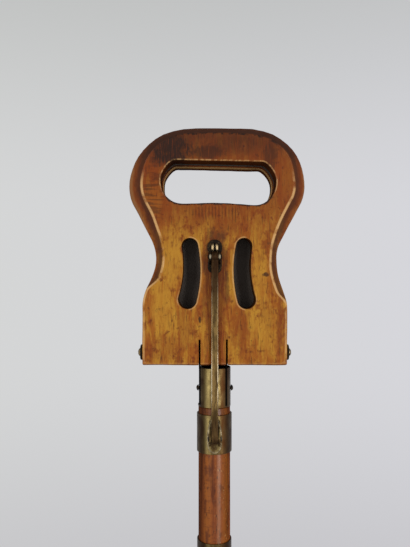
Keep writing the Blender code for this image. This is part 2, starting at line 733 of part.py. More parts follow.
def make_clevis(side, slide):
    """A clevis on the collar: a saddle, two drop-shaped ears and the two ends of its pin."""
    name = f"{side}_clevis"
    origin = (0, -CLEVIS_PIN_OUT, -CLEVIS_PIN_DROP)
    front = -(COLLAR_RADIUS + SADDLE_STAND) + CLEVIS_PIN_OUT
    back = front + COLLAR_RADIUS / 2
    levels = [(front, -EDGE_BREAK), (front + EDGE_BREAK, 0.0), (back, 0.0)]
    clevis = add_object(name, lofted(saddle_outline(), levels, facing_y), slide, "brass", origin)
    root = front + SADDLE_STAND / 2
    combine(clevis, add_ears(name, CLEVIS_EAR_TAILS, root, slide, origin), "UNION")
    seat = rod(COLLAR_RADIUS + FIT_GAP, -COLLAR_LENGTH - CUT_REACH, CUT_REACH, ROUND_LARGE * 2)
    bore = along_x(rod(PIN_RADIUS + FIT_GAP, -EAR_OUTER - CUT_REACH, EAR_OUTER + CUT_REACH))
    cutters = [
        add_object(f"{name}_seat", seat, slide),
        add_object(f"{name}_bore", bore, slide, location=origin),
    ]
    combine(clevis, cutters)
    head = EAR_OUTER + FIT_GAP
    for hand, label in HANDS:
        profile = [(0, EAR_INNER), (PIN_RADIUS, EAR_INNER), (PIN_RADIUS, head)]
        stub = along_x(turned(profile + dome(PIN_HEAD_RADIUS, PIN_HEAD_HEIGHT, head), ROUND_SMALL))
        turn = 0.0 if hand > 0 else math.pi
        add_object(f"{name}_pin_{label}", stub, slide, "iron", origin, (0, 0, turn))


def make_collar(slide):
    """The collar that slides on the shaft and carries both clevises."""
    ring = chamfered_ring(COLLAR_BORE, COLLAR_RADIUS, -COLLAR_LENGTH, 0.0, FINE_BREAK)
    add_object("collar", turned(ring, ROUND_LARGE, closed=True), slide, "brass")


def ferrule_radius(height):
    """Outer radius of the ferrule's straight taper at a height above the ground."""
    share = (height - TIP_HEIGHT) / FERRULE_LENGTH
    return FERRULE_FOOT_RADIUS + (FERRULE_TOP_RADIUS - FERRULE_FOOT_RADIUS) * share


def saw_cut(x, foot, top, reach):
    """Cutter for a cheek plate's seat; a strip of socket too thin to stand goes with it."""
    half = CHEEK_THICKNESS / 2 + FIT_GAP
    inner, outer = abs(x) - half, abs(x) + half
    if SOCKET_RADIUS - outer < THINNEST_STRIP:
        outer = SOCKET_RADIUS + CUT_REACH
    low, high = (inner, outer) if x > 0 else (-outer, -inner)
    return box((low, -reach, foot), (high, reach, top))


def make_shaft(stick):
    """The cane shaft: a sawn spigot in the socket, a straight run for the collar and a long taper."""
    socket_foot = ROD_HEIGHT - SOCKET_DROP - SOCKET_LENGTH
    spigot = SOCKET_RADIUS - SOCKET_WALL - FIT_GAP
    spigot_top = ROD_HEIGHT - SOCKET_DROP - EDGE_BREAK
    foot = TIP_HEIGHT + FIT_GAP
    shoulder = TIP_HEIGHT + FERRULE_LENGTH + FIT_GAP
    inset = FERRULE_WALL + FIT_GAP
    profile = [
        (0, foot),
        (ferrule_radius(foot) - inset, foot),
        (ferrule_radius(shoulder) - inset, shoulder),
        (FERRULE_TOP_RADIUS, shoulder),
        (SHAFT_RADIUS, ROD_HEIGHT - SHAFT_TAPER_DROP),
        (SHAFT_RADIUS, socket_foot - FIT_GAP),
        (spigot, socket_foot - FIT_GAP),
        (spigot, spigot_top),
        (0, spigot_top),
    ]
    shaft = add_object("shaft", turned(profile, ROUND_LARGE), stick, "cane")
    cut_foot = socket_foot + SLIT_STOP
    reach = SHAFT_RADIUS * 2
    cutters = [add_object(f"shaft_saw_cut_{label}", saw_cut(x, cut_foot, ROD_HEIGHT, reach), stick)
               for label, x in CHEEK_X.items()]
    rivet_hole = along_x(rod(RIVET_RADIUS + FIT_GAP, -reach, reach))
    place = (0, 0, ROD_HEIGHT - RIVET_DROP)
    cutters.append(add_object("shaft_rivet_hole", rivet_hole, stick, location=place))
    stem_hole = rod(TIP_STEM_RADIUS + FIT_GAP, 0.0, TIP_HEIGHT + TIP_STEM_LENGTH + FIT_GAP)
    cutters.append(add_object("shaft_stem_hole", stem_hole, stick))
    for name, height, surface in small_pins():
        cutters.append(add_object(f"shaft_hole_{name}", pin_hole(surface), stick, location=(0, 0, height)))
    combine(shaft, cutters)


def small_pins():
    """Name, height and seat radius of the pins that hold the stop ring and the ferrule at the back."""
    ferrule_pin = TIP_HEIGHT + FERRULE_LENGTH - FERRULE_PIN_DROP
    ring_pin = stop_ring_top() - STOP_RING_HEIGHT / 2
    ring_radius = COLLAR_BORE + STOP_RING_WALL
    return [
        ("ferrule_pin", ferrule_pin, ferrule_radius(ferrule_pin)),
        ("stop_ring_pin", ring_pin, ring_radius),
    ]


def pin_hole(surface):
    """A blind hole from the back of the stick for a small holding pin."""
    hole = rod(RIVET_RADIUS + FIT_GAP, surface / 2 - FIT_GAP, surface + CUT_REACH)
    bmesh.ops.rotate(hole, verts=hole.verts, cent=(0, 0, 0), matrix=Matrix.Rotation(-math.pi / 2, 3, "X"))
    return hole


def make_small_pins(stick):
    """Holding pins, each filed to a low dome on the piece that it holds."""
    for name, height, surface in small_pins():
        profile = [(0, surface / 2), (RIVET_RADIUS, surface / 2)]
        pin = turned(profile + dome(RIVET_RADIUS, PIN_HEAD_PROUD, surface), ROUND_SMALL)
        bmesh.ops.rotate(pin, verts=pin.verts, cent=(0, 0, 0), matrix=Matrix.Rotation(-math.pi / 2, 3, "X"))
        add_object(name, pin, stick, "brass", (0, 0, height))


def make_socket(stick):
    """The brass socket over the shaft's spigot, slit for the cheek plates."""
    top = ROD_HEIGHT - SOCKET_DROP
    foot = top - SOCKET_LENGTH
    ring = chamfered_ring(SOCKET_RADIUS - SOCKET_WALL, SOCKET_RADIUS, foot, top, FINE_BREAK)
    socket = add_object("head_socket", turned(ring, ROUND_LARGE, closed=True), stick, "brass")
    reach = SOCKET_RADIUS * 2
    cut_foot = foot + SLIT_STOP
    cutters = [add_object(f"head_socket_slit_{label}", saw_cut(x, cut_foot, ROD_HEIGHT, reach), stick)
               for label, x in CHEEK_X.items()]
    rivet_hole = along_x(rod(RIVET_RADIUS + FIT_GAP, -reach, reach))
    place = (0, 0, ROD_HEIGHT - RIVET_DROP)
    cutters.append(add_object("head_socket_rivet_hole", rivet_hole, stick, location=place))
    combine(socket, cutters)


def cheek_outline():
    """A cheek plate from the side, measured from the rods' height: a broad eye bar on a narrow tang."""
    eye = CHEEK_EYE_RADIUS
    foot = -SOCKET_DROP - SOCKET_LENGTH + SLIT_STOP + FIT_GAP
    neck = -SOCKET_DROP - CUT_REACH
    right = [Vector((CHEEK_NECK_HALF, foot)), Vector((CHEEK_NECK_HALF, neck))]
    start, end = CHEEK_EYE_ANGLES
    for step in range(2 * ARC_STEPS + 1):
        angle = start + (end - start) * step / (2 * ARC_STEPS)
        right.append(Vector((ROD_OFFSET + eye * math.cos(angle), eye * math.sin(angle))))
    return mirrored(right)


def make_cheeks(stick):
    """The two plates that carry both rods, filed flush with the socket, and the rivet through them."""
    half = CHEEK_THICKNESS / 2
    reach = HEAD_WIDTH
    flush = SOCKET_RADIUS - CHEEK_FOOT_INSET
    shell = [(flush, -reach), (reach, -reach), (reach, -SOCKET_DROP), (flush, -SOCKET_DROP)]
    top = (0, 0, ROD_HEIGHT)
    for label, x in CHEEK_X.items():
        name = f"cheek_plate_{label}"
        plate = slab(cheek_outline(), x - half, x + half, CHEEK_BREAK, facing_x)
        cheek = add_object(name, plate, stick, "iron", top)
        file_cut = turned(shell, ROUND_LARGE, closed=True)
        cutters = [add_object(f"{name}_flush", file_cut, stick, location=top)]
        for side, mirror in MIRROR.items():
            bore = along_x(rod(ROD_RADIUS + FIT_GAP, -reach, reach))
            place = (0, -ROD_OFFSET * mirror, ROD_HEIGHT)
            cutters.append(add_object(f"{name}_{side}_bore", bore, stick, location=place))
        rivet_hole = along_x(rod(RIVET_RADIUS + FIT_GAP, -reach, reach))
        place = (0, 0, ROD_HEIGHT - RIVET_DROP)
        cutters.append(add_object(f"{name}_rivet_hole", rivet_hole, stick, location=place))
        combine(cheek, cutters)
    make_rivet(stick)


def rivet_seat(x):
    """Where a rivet head sits: on the socket, or on the cheek plate where that closes its side."""
    face = abs(x) + CHEEK_THICKNESS / 2
    open_side = SOCKET_RADIUS - face - FIT_GAP < THINNEST_STRIP
    return (face if open_side else SOCKET_RADIUS) + FIT_GAP


def make_rivet(stick):
    upper = dome(RIVET_HEAD_RADIUS, RIVET_HEAD_HEIGHT, rivet_seat(CHEEK_X["right"]))
    lower = dome(RIVET_HEAD_RADIUS, RIVET_HEAD_HEIGHT, rivet_seat(CHEEK_X["left"]))
    shank = [(RIVET_RADIUS, -lower[0][1]), (RIVET_RADIUS, upper[0][1])]
    profile = [(radius, -height) for radius, height in reversed(lower)] + shank + upper
    add_object("socket_rivet", along_x(turned(profile, ROUND_SMALL)), stick, "iron",
               (0, 0, ROD_HEIGHT - RIVET_DROP))


def stop_ring_top():
    """The collar comes down onto the ring when the seat is fully open."""
    return ROD_HEIGHT - COLLAR_DROP - COLLAR_LENGTH - collar_travel() - FIT_GAP


def make_stop_ring(stick):
    top = stop_ring_top()
    radius = COLLAR_BORE + STOP_RING_WALL
    ring = chamfered_ring(COLLAR_BORE, radius, top - STOP_RING_HEIGHT, top, FINE_BREAK)
    stop_ring = add_object("stop_ring", turned(ring, ROUND_LARGE, closed=True), stick, "brass")
    name, height, surface = small_pins()[1]
    combine(stop_ring, [add_object(f"{name}_ring_hole", pin_hole(surface), stick, location=(0, 0, height))])


def make_ferrule(stick):
    """The tapered brass ferrule and the blunt steel tip whose stem runs up into the shaft."""
    foot = TIP_HEIGHT
    top = TIP_HEIGHT + FERRULE_LENGTH
    profile = [
        (ferrule_radius(foot) - FERRULE_WALL, foot),
        (ferrule_radius(foot), foot),
        (ferrule_radius(top), top),
        (ferrule_radius(top) - FERRULE_WALL, top),
    ]
    ferrule = add_object("ferrule", turned(profile, ROUND_LARGE, closed=True), stick, "brass")
    name, height, surface = small_pins()[0]
    combine(ferrule, [add_object(f"{name}_ferrule_hole", pin_hole(surface), stick, location=(0, 0, height))])
    rim = TIP_HEIGHT - FIT_GAP
    tip = [
        (0, 0),
        (TIP_FOOT_RADIUS - EDGE_BREAK, 0),
        (TIP_FOOT_RADIUS, EDGE_BREAK),
        (FERRULE_FOOT_RADIUS, rim - EDGE_BREAK),
        (FERRULE_FOOT_RADIUS - EDGE_BREAK, rim),
        (TIP_STEM_RADIUS, rim),
        (TIP_STEM_RADIUS, TIP_HEIGHT + TIP_STEM_LENGTH),
        (0, TIP_HEIGHT + TIP_STEM_LENGTH),
    ]
    add_object("steel_tip", turned(tip, ROUND_LARGE), stick, "iron")


def main():
    clear_scene()
    stick = add_empty("stick_frame", (0, 0, 0))
    make_shaft(stick)
    make_socket(stick)
    make_cheeks(stick)
    make_stop_ring(stick)
    make_ferrule(stick)
    make_small_pins(stick)
    slide = add_empty("collar_slide", (0, 0, ROD_HEIGHT - COLLAR_DROP), parent=stick)
    make_collar(slide)
    for side, turn in SIDES.items():
        fold = add_empty(f"{side}_fold", (0, -ROD_OFFSET * MIRROR[side], ROD_HEIGHT), turn, stick)
        make_board(side, fold)
        make_lining(side, fold)
        make_hinge_rod(side, fold)
        make_lug(side, fold)
        make_strut(side, add_empty(f"{side}_strut_pivot", (0, -LUG_PIN_OUT, LUG_RISE), parent=fold))
        make_clevis(side, add_empty(f"{side}_clevis_frame", (0, 0, 0), turn, slide))


main()
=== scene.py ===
"""Looks of the walking stick seat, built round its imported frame.

Carved boards, leather linings, forged fittings and turned brass, in metres, in the frame's own axes.
Sizes and colours are properties, each group of pieces has an operator, and the panel lists them.
"""
import math
import bmesh
import bpy
import numpy as np
from bpy.props import FloatProperty, FloatVectorProperty, PointerProperty
from mathutils import Matrix, Vector, noise
from mathutils.geometry import interpolate_bezier


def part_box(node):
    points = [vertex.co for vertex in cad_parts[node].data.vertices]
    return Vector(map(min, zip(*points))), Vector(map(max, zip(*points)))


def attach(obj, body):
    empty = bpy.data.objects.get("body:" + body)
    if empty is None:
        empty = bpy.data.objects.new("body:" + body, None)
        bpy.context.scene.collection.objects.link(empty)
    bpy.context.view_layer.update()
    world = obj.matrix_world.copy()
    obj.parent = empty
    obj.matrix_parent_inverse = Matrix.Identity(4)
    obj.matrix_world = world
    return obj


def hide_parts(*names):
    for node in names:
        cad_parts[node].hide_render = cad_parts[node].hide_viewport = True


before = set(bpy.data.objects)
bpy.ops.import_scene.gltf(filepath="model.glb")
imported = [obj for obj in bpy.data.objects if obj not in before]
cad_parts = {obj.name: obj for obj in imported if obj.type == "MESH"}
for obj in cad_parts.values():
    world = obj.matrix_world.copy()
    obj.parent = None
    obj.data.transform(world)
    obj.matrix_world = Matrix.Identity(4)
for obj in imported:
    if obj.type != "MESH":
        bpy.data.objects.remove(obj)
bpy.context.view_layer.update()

bl_info = {
    "name": "Walking stick seat",
    "version": (1, 0, 0),
    "blender": (4, 5, 0),
    "location": "3D View > Sidebar > Stick Seat",
    "description": "Builds the looks of a walking stick seat round its packed frame",
    "category": "Object",
}

# Each half's name, its turn about the cane and its sign across it
SIDES = (("front", 0.0, 1.0), ("back", math.pi, -1.0))
HANDS = ((-1, "left"), (1, "right"))
QUARTER = math.pi / 2

# Clearances, steps and units
WELD = 1e-6
LEVEL_NUDGE = 1e-12
SPOTS_AT_ONCE = 4000
MILLIMETRES = 1000.0
CUT_REACH = 0.002
FIT_GAP = 0.0003
SNUG_GAP = 0.00006
LATHE_STEPS = 72
SMALL_STEPS = 28
CURVE_STEPS = 12
ARC_STEPS = 8
MOUTH_START = math.radians(10.0)
ROUNDING_STEPS = 4
OUTLINE_STEP = 0.0018
GRID_STEP = 0.004
SHARP_ANGLE = math.radians(40.0)

# Boards and linings: outlines, edges, cuts and how far a hand strays
CHAMFER_SLOPE = 0.8
CHAMFER_SPREAD = 0.045
LEFT_CHAMFER = 1.16
BOARD_SWAY = ((0.055, 0.0), (0.081, 0.0014), (0.143, 0.0019), (0.185, 0.0030))
FLANK_LOW = (0.0060, 0.0193)
FLANK_HIGH = (0.0037, 0.0161)
SHOULDER_HANDLE = 0.32
WAIST_HANDLES = (0.44, 0.42)
HEAD_HANDLE = 0.345
CROWN_HANDLE = 0.79
HOLE_ARCH_HANDLES = (0.45, 0.65)
HOLE_CORNER_HANDLE = 0.55
HOLE_SHOULDER_HANDLE = 0.4
CHAMFER_STRAY_CELL = 0.016
HOLE_STRAY_CELL = 0.009
OUTLINE_STRAY_CELL = 0.022
TOOL_CELL = 0.014
PROFILE_TAIL = 0.5
EDGE_TAIL = 1.3
KERF_RISE = 0.0122
KERF_INNER_RISE = 0.0075
GROOVE_RADIUS = 0.0080
LEATHER_WAVE = 0.0002
LEATHER_CELL = 0.012

# Fittings, struts, socket, cane, ring and tip
SCREW_RISES = {"upper": 0.0078, "lower": -0.0090}
SCREW_HEADS = {"upper": (0.0038, 0.0018), "lower": (0.0032, 0.0011)}
SCREW_SLOT_SHARE = 0.8
FORGED_VOXEL = 0.00022
FORGED_SMOOTHING = 8
FORGED_EASE = 0.5
FORGED_SHARE = 0.4
PLATE_EDGE = 0.0004
EAR_EDGE = 0.0005
LUG_WAIST_RISE = 0.0031
LUG_ROUNDING = 0.6
LUG_EAR_TAILS = (-0.0070, 0.0049)
SCREW_EDGE = 0.00015
HAMMER_DENT = 0.00014
HAMMER_CELL = 0.0011
WASHER_DENT = 0.00008
WASHER_CELL = 0.003
WASHER_CROWN = 1.6
STRUT_EYE_OPENING = 1.6
STRUT_STEP = 0.004
STRUT_WAVE = 0.00012
STRUT_CELL = 0.011
SADDLE_MARGIN = 0.0012
SADDLE_EDGE = 0.0006
SADDLE_WIDEST_DROP = 0.0028
SADDLE_FOOT_HANDLES = (0.70, 0.65)
SADDLE_TOP_HANDLES = (0.40, 0.62)
CLEVIS_EAR_TAILS = (-0.0078, 0.0151)
LONG_REACH = 0.05
TUBE_WAVE = 0.00006
TUBE_CELL = 0.010
THINNEST_STRIP = 0.0008
SLIT_STOP = 0.0014
SOCKET_EDGE = 0.0003
SHOULDER_EDGE = 0.0006
SHAFT_STEP = 0.009
SHAFT_WAVE = 0.00008
SHAFT_CELL = 0.03
RING_EDGE = 0.0003
FERRULE_EDGE = 0.0003
RIVET_DOME = 0.0020
PIN_PROUD = 0.0004
TIP_STEM_RADIUS = 0.0035
TIP_ROUNDING = 0.0012
TIP_EDGE = 0.0006
TIP_CELL = 0.006

# The boards' finish, in millimetres from the hinge rod
BACK_SHIFT = 137.0
CURL_SPOT = (-52.0, 136.0, 10.0, 24.0)
RIPPLE_SPOT = (-1.0, 120.0, 24.0, 6.0)
RIPPLE_TURN = 2.24
HEAD_REDDENING = (80.0, 132.0)
CROWN_DARKENING = (156.0, 186.0)
STRUT_SHADE_ACROSS = (0.6, 6.8, 3.5)
STRUT_SHADE_END = (66.0, 112.0)
PALE_FIBRE_END = (80.0, 112.0)
CHAMFER_START = (34.0, 52.0)
CROWN_CHAMFER = (150.0, 176.0)
RIDGE_START = (36.0, 46.0)
RIDGE_END = (142.0, 158.0)
OUTER_FACE = (-8.7, -7.6)
FACE_END = (-8.0, -6.4)
FOOT_EDGE = (14.0, 20.0, 4.0)
FOOT_FACE = (-9.6, -8.8)
CROWN_LINE = (172.0, 182.0)
RIM_START = (132.0, 142.0)
SILL_END = (131.0, 137.0)
HOLE_ROOF = (148.0, 158.0)
SLOT_OUTER_SIDES = (-26.5, 31.0)
BOARD_MARKS = ("inset", "from_hole", "from_slot")

# Strips along the cane and the brass: middle, half width and fade, in millimetres from the middle
CANE_RED_STRIP = (5.5, 3.0, 2.5)
CANE_AMBER_STRIP = (-3.5, 1.5, 3.0)
CANE_RIGHT_STRIP = (10.5, 1.5, 2.0)
# Painted highlight: a paler, glossier strip down the cane
CANE_HIGHLIGHT_STRIP = (4.2, 0.6, 2.0)
# Painted shade down the cane's left side
CANE_SHADED_SIDE = (8.0, 13.0)
CANE_BARE_SIDES = (6.5, 11.5)
# Painted highlight on the brass tubes
BRASS_HIGHLIGHT_STRIP = (-6.0, 1.2, 2.2)
BRASS_DULL_STRIP = (5.5, 2.2, 2.5)
BRASS_RED_STRIP = (9.0, 1.5, 3.5)
# Painted shade on both sides of the brass tubes
BRASS_SHADED_SIDES = (8.0, 13.0)

# Heights on the struts' finish, in millimetres from the lug's pin
STRUT_DARK_TOP = (-46.0, -6.0)
# Edges rubbed bare and partly painted as a highlight, between these heights
STRUT_RUBBED_AND_LIT = (-100.0, 16.0, 12.0)
STRUT_RUBBED_AND_LIT_TOP = (-34.0, -14.0)
STRUT_RUBBED_AND_LIT_FOOT = (-136.0, -118.0)
STRUT_DARK_FOOT = (-150.0, -124.0)

# Camera, floor and lamps
CAMERA_PLACE = (-0.0083, -0.5355, 0.7619)
CAMERA_LENS = 39.5
CAMERA_SENSOR = 36.0
CAMERA_NEAR = 0.01
FLOOR_RADIUS = 0.70
FLOOR_DEPTH = 0.004
LAMP_AIM_HEIGHT = 0.75
LAMPS = (
    ("left_window", (-0.78, -1.10, 0.95), (0.20, 1.3), 6.5),
    ("right_strip", (0.76, -1.10, 0.85), (0.12, 1.4), 8.0),
)

# Stains: middle and half sizes in millimetres from the hinge rod, tone and depth
FRONT_PATCHES = (
    ((-38.0, 173.0, 18.0, 14.0), "umber", 1.0),
    ((-6.0, 171.0, 15.0, 6.0), "umber", 0.7),
    ((20.0, 177.0, 20.0, 8.0), "umber", 0.3),
    ((47.0, 168.0, 6.0, 13.0), "umber", 0.6),
    ((-53.0, 128.0, 8.0, 12.0), "amber", 0.5),
    ((-14.0, 116.0, 7.0, 8.0), "russet", 0.5),
    ((9.0, 108.0, 9.0, 9.0), "russet", 0.5),
    ((-37.0, 82.0, 9.0, 26.0), "honey", 0.7),
    ((38.0, 70.0, 7.0, 24.0), "honey", 0.5),
    ((-44.0, 36.0, 9.0, 17.0), "honey", 0.7),
    ((-25.0, 24.0, 7.0, 22.0), "russet", 0.45),
    ((-44.0, 4.0, 16.0, 12.0), "russet", 0.35),
    # Umber round the lug and down both sides of the strut
    ((0.5, 80.0, 10.5, 26.0), "umber", 0.72),
    ((9.0, 58.0, 3.5, 18.0), "umber", 0.6),
    ((-8.0, 46.0, 3.0, 20.0), "umber", 0.35),
    ((15.0, 66.0, 2.6, 26.0), "honey", 0.6),
    ((44.0, 24.0, 7.0, 24.0), "honey", 0.6),
    ((22.0, 22.0, 8.0, 22.0), "russet", 0.5),
    ((56.0, 26.0, 3.5, 26.0), "russet", 0.7),
    ((43.1, 67.0, 2.6, 1.8), "umber", 0.9),
    ((-12.6, 28.8, 1.2, 2.6), "umber", 0.9),
    ((24.6, 176.1, 0.7, 0.7), "umber", 1.0),
    ((28.5, 177.1, 0.5, 0.5), "umber", 0.9),
)
BACK_PATCHES = (
    ((38.0, 168.0, 14.0, 11.0), "umber", 0.8),
    ((-20.0, 172.0, 16.0, 7.0), "umber", 0.6),
    ((30.0, 60.0, 10.0, 30.0), "honey", 0.6),
    ((-36.0, 30.0, 10.0, 24.0), "russet", 0.5),
    ((0.5, 82.0, 9.5, 24.0), "umber", 0.6),
)


def node_box(name):
    """Lowest and highest corner of a CAD node, as plain lists."""
    low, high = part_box(name)
    return list(low), list(high)


def node_middle(name):
    low, high = node_box(name)
    return [(bottom + top) / 2 for bottom, top in zip(low, high)]


BOARD_LOW, BOARD_HIGH = node_box("front_board")
ROD_MIDDLE = node_middle("front_hinge_rod")
LUG_PIN_MIDDLE = node_middle("front_lug_pin")
CLEVIS_PIN_MIDDLE = node_middle("front_strut_pin_core")
COLLAR_LOW, COLLAR_HIGH = node_box("collar")
SOCKET_LOW, SOCKET_HIGH = node_box("head_socket")
RING_LOW, RING_HIGH = node_box("stop_ring")
FERRULE_LOW, FERRULE_HIGH = node_box("ferrule")
RIVET_BOX = node_box("socket_rivet")
RIVET_MIDDLE = node_middle("socket_rivet")
CHEEKS = [tuple(corner[0] for corner in node_box(f"cheek_plate_{label}")) for _, label in HANDS]
CHEEK_REACH = max(abs(edge) for cheek in CHEEKS for edge in cheek) + CUT_REACH


def display(red, green, blue):
    """Linear colour of a tone given as the screen shows it, from 0 to 255."""
    tone = [channel / 255 for channel in (red, green, blue)]
    return tuple(part / 12.92 if part <= 0.04045 else ((part + 0.055) / 1.055) ** 2.4 for part in tone)


def length(name, description, default):
    """A size that a user may change."""
    return FloatProperty(name=name, description=description, default=default, unit="LENGTH", precision=4)


def tint(name, description, tone):
    """A colour that a user may change."""
    return FloatVectorProperty(name=name, description=description, default=display(*tone),
                               subtype="COLOR", size=3, min=0.0, max=1.0)


class BoardSizes(bpy.types.PropertyGroup):
    """The seat boards' outline and edges, measured from the hinge rod."""

    thickness: length("Thickness", "Board thickness", BOARD_HIGH[1] - BOARD_LOW[1])
    tail: length("Tail", "How far the board reaches below the rod", ROD_MIDDLE[2] - BOARD_LOW[2])
    top: length("Top", "Height of the board's top above the rod", BOARD_HIGH[2] - ROD_MIDDLE[2])
    base_width: length("Base width", "Width of the square foot", 0.1232)
    shoulder_rise: length("Shoulder", "Where the straight sides end", 0.0400)
    waist_width: length("Waist width", "Width at the waist", 0.1033)
    waist_rise: length("Waist height", "Height of the waist", 0.0810)
    head_width: length("Head width", "Widest part of the head", 0.1514)
    head_rise: length("Head height", "Height of the widest part", 0.1430)
    top_flat: length("Top flat", "Flat stretch of the top edge", 0.038)
    foot_corner: length("Foot corner", "Rounding of the lower corners", 0.0015)
    chamfer_head: length("Head chamfer", "Width of the chamfer beside the head", 0.0098)
    chamfer_waist: length("Waist chamfer", "Width of the chamfer at the waist", 0.0057)
    chamfer_top: length("Top chamfer", "Width of the chamfer along the top", 0.0058)
    stop_left: length("Left stop", "Where the left chamfer ends", 0.053)
    stop_right: length("Right stop", "Where the right chamfer ends", 0.041)
    run_out: length("Run-out", "Length over which a chamfer dies away", 0.012)
    edge: length("Edge", "Break of the plain edges", 0.0006)
    ridge: length("Ridge rounding", "Worn radius of the chamfer's ridges", 0.0014)
    unevenness: length("Unevenness", "How far the carver's hand strays", 0.00022)


class HandHoleSizes(bpy.types.PropertyGroup):
    """The hand hole through each board."""

    width: length("Width", "Width of the hand hole", 0.0980)
    bottom: length("Bottom", "Height of its lower edge above the rod", 0.1268)
    top: length("Top", "Height of its upper edge above the rod", 0.1635)
    shoulder_in: length("Shoulder in", "Upper corner's slant, across", 0.0120)
    shoulder_down: length("Shoulder down", "Upper corner's slant, down", 0.0160)
    corner_in: length("Corner in", "Lower corner's rounding, across", 0.0180)
    corner_up: length("Corner up", "Lower corner's rounding, up", 0.0190)
    arch: length("Arch", "Rise of the lower edge's middle", 0.0012)
    shift: length("Shift", "How far it lies right of the middle", 0.0031)
    tilt: FloatProperty(name="Tilt", description="Turn of the hole, down to the right", subtype="ANGLE",
                        default=math.radians(-1.2))
    mouth: length("Mouth", "Worn rounding of its edges", 0.0014)


class SlotSizes(bpy.types.PropertyGroup):
    """The curved slots either side of the strut."""

    top_out: length("Top out", "Upper end's distance from the middle", 0.0231)
    top_rise: length("Top height", "Upper end's height above the rod", 0.0911)
    foot_out: length("Foot out", "Lower end's distance from the middle", 0.0252)
    foot_rise: length("Foot height", "Lower end's height above the rod", 0.0456)
    bow: length("Bow", "How far the slot bends towards the strut", 0.0026)
    top_radius: length("Top radius", "Half width at the top", 0.0068)
    foot_radius: length("Foot radius", "Half width at the foot", 0.0077)
    shift: length("Shift", "How far both lie right of the middle", 0.0019)
    mouth: length("Mouth", "Worn rounding of their edges", 0.0009)


class LiningSizes(bpy.types.PropertyGroup):
    """The leather on the boards' inner faces."""

    thickness: length("Thickness", "Leather's thickness", 0.0020)
    margin: length("Margin", "Wood left bare round its edge", 0.0015)
    start: length("Start", "Where it begins above the rod", 0.0160)
    edge: length("Edge", "Rounding of its cut edge", 0.0006)
    dent: length("Dent", "How far it sinks over the slots", 0.0004)


class FittingSizes(bpy.types.PropertyGroup):
    """Hinge rods, washers, lugs, screws and pins."""

    rod: length("Rod", "Radius of the hinge rods", 0.0030)
    rod_head: length("Rod head", "Radius of their hammered ends", 0.0034)
    rod_dome: length("Rod dome", "Height of the hammered ends", 0.0019)
    washer: length("Washer", "Radius of the washers", 0.0067)
    washer_thickness: length("Washer thickness", "Thickness of the washers", 0.0020)
    plate: length("Lug plate", "Thickness of the lug's plate", 0.0015)
    plate_top: length("Plate top", "Upper end of the plate above the pin", 0.0147)
    plate_foot: length("Plate foot", "Lower end of the plate below the pin", 0.0142)
    plate_top_half: length("Top lobe", "Half width of the upper lobe", 0.0064)
    plate_waist_half: length("Waist", "Half width between the lobes", 0.0056)
    plate_foot_half: length("Foot lobe", "Half width of the lower lobe", 0.0060)
    ear: length("Ear", "Radius of the ears round their pin", 0.0041)
    ear_thickness: length("Ear thickness", "Thickness of one ear", 0.0019)
    ear_gap: length("Ear gap", "Half the room between two ears", 0.0030)
    pin: length("Pin", "Radius of the pins", 0.0016)
    pin_head: length("Pin head", "Radius of the pins' heads", 0.0023)
    pin_dome: length("Pin dome", "Height of the pins' heads", 0.0009)
    screw: length("Screw", "Radius of the screws' shanks", 0.0014)
    screw_length: length("Screw length", "Length of the screws' shanks", 0.0110)
    screw_slot: length("Screw slot", "Width of the screws' slots", 0.0013)


class StrutSizes(bpy.types.PropertyGroup):
    """The flat bars between the boards and the collar."""

    width: length("Width", "Across the stick", 0.0058)
    depth: length("Depth", "From front to back", 0.0045)
    eye: length("Eye", "Radius of the eyes", 0.0043)
    neck: length("Neck", "Where an eye has run out into the bar", 0.0100)
    edge: length("Edge", "Worn rounding of its edges", 0.0007)


class StickSizes(bpy.types.PropertyGroup):
    """The cane with its socket, collar, stop ring, ferrule and tip."""

    shaft: length("Shaft", "Radius of the straight part", 0.0141)
    taper_drop: length("Taper", "Where the taper begins below the rods", 0.200)
    socket_wall: length("Socket wall", "Thickness of the socket", 0.0010)
    collar_wall: length("Collar wall", "Thickness of the collar", 0.0011)
    collar_edge: length("Collar edge", "Rounding of the collar's edges", 0.0004)
    saddle_half: length("Clevis half width", "Half width of the drop on the collar", 0.0067)
    saddle_stand: length("Clevis stand", "How far its base stands off the collar", 0.0012)
    ferrule_top: length("Ferrule top", "Radius at its top", 0.0105)
    ferrule_foot: length("Ferrule foot", "Radius at its foot", 0.0090)
    tip_foot: length("Tip foot", "Radius of the tip's flat foot", 0.0076)
    rivet: length("Rivet", "Radius of the rivet and the small pins", 0.0015)
    rivet_head: length("Rivet head", "Radius of the rivet's heads", 0.0027)


class WoodColours(bpy.types.PropertyGroup):
    """Tones of the boards and the cane."""

    honey: tint("Honey", "Lightest grain of the boards", (176, 124, 40))
    amber: tint("Amber", "Darker grain of the boards", (148, 84, 25))
    russet: tint("Russet", "Reddish varnish of the head", (118, 53, 17))
    # umber also paints shade on walls, chamfers, the foot, the cane and the brass
    umber: tint("Umber", "Stains and walls", (46, 27, 19))
    # worn also paints highlights on the boards' ridges and the cane, and light on the back board's walls
    worn: tint("Worn", "Edges rubbed bright", (204, 160, 104))
    cane_red: tint("Cane red", "Varnish of the cane", (136, 70, 30))
    cane_brown: tint("Cane brown", "Dark streaks of the cane", (82, 38, 20))


class MetalColours(bpy.types.PropertyGroup):
    """Tones of brass, iron, steel and leather."""

    brass: tint("Brass", "Rubbed brass", (164, 144, 92))
    patina: tint("Patina", "Brown patina on the brass", (92, 72, 42))
    strut: tint("Strut", "Rubbed metal of the struts", (142, 114, 68))
    iron: tint("Iron", "Browned iron", (30, 24, 19))
    steel: tint("Steel", "Rubbed heads of screws", (150, 130, 96))
    # rubbed also paints highlights on the clevis rim, the strut edges and the lug's ear noses
    rubbed: tint("Rubbed", "Bare edges of brass and struts", (234, 218, 184))
    # old grease and painted shade in slits and slots
    grime_and_shade: tint("Grime", "Old grease in slits and slots", (17, 13, 11))
    leather: tint("Leather", "Lining of the boards", (72, 64, 58))


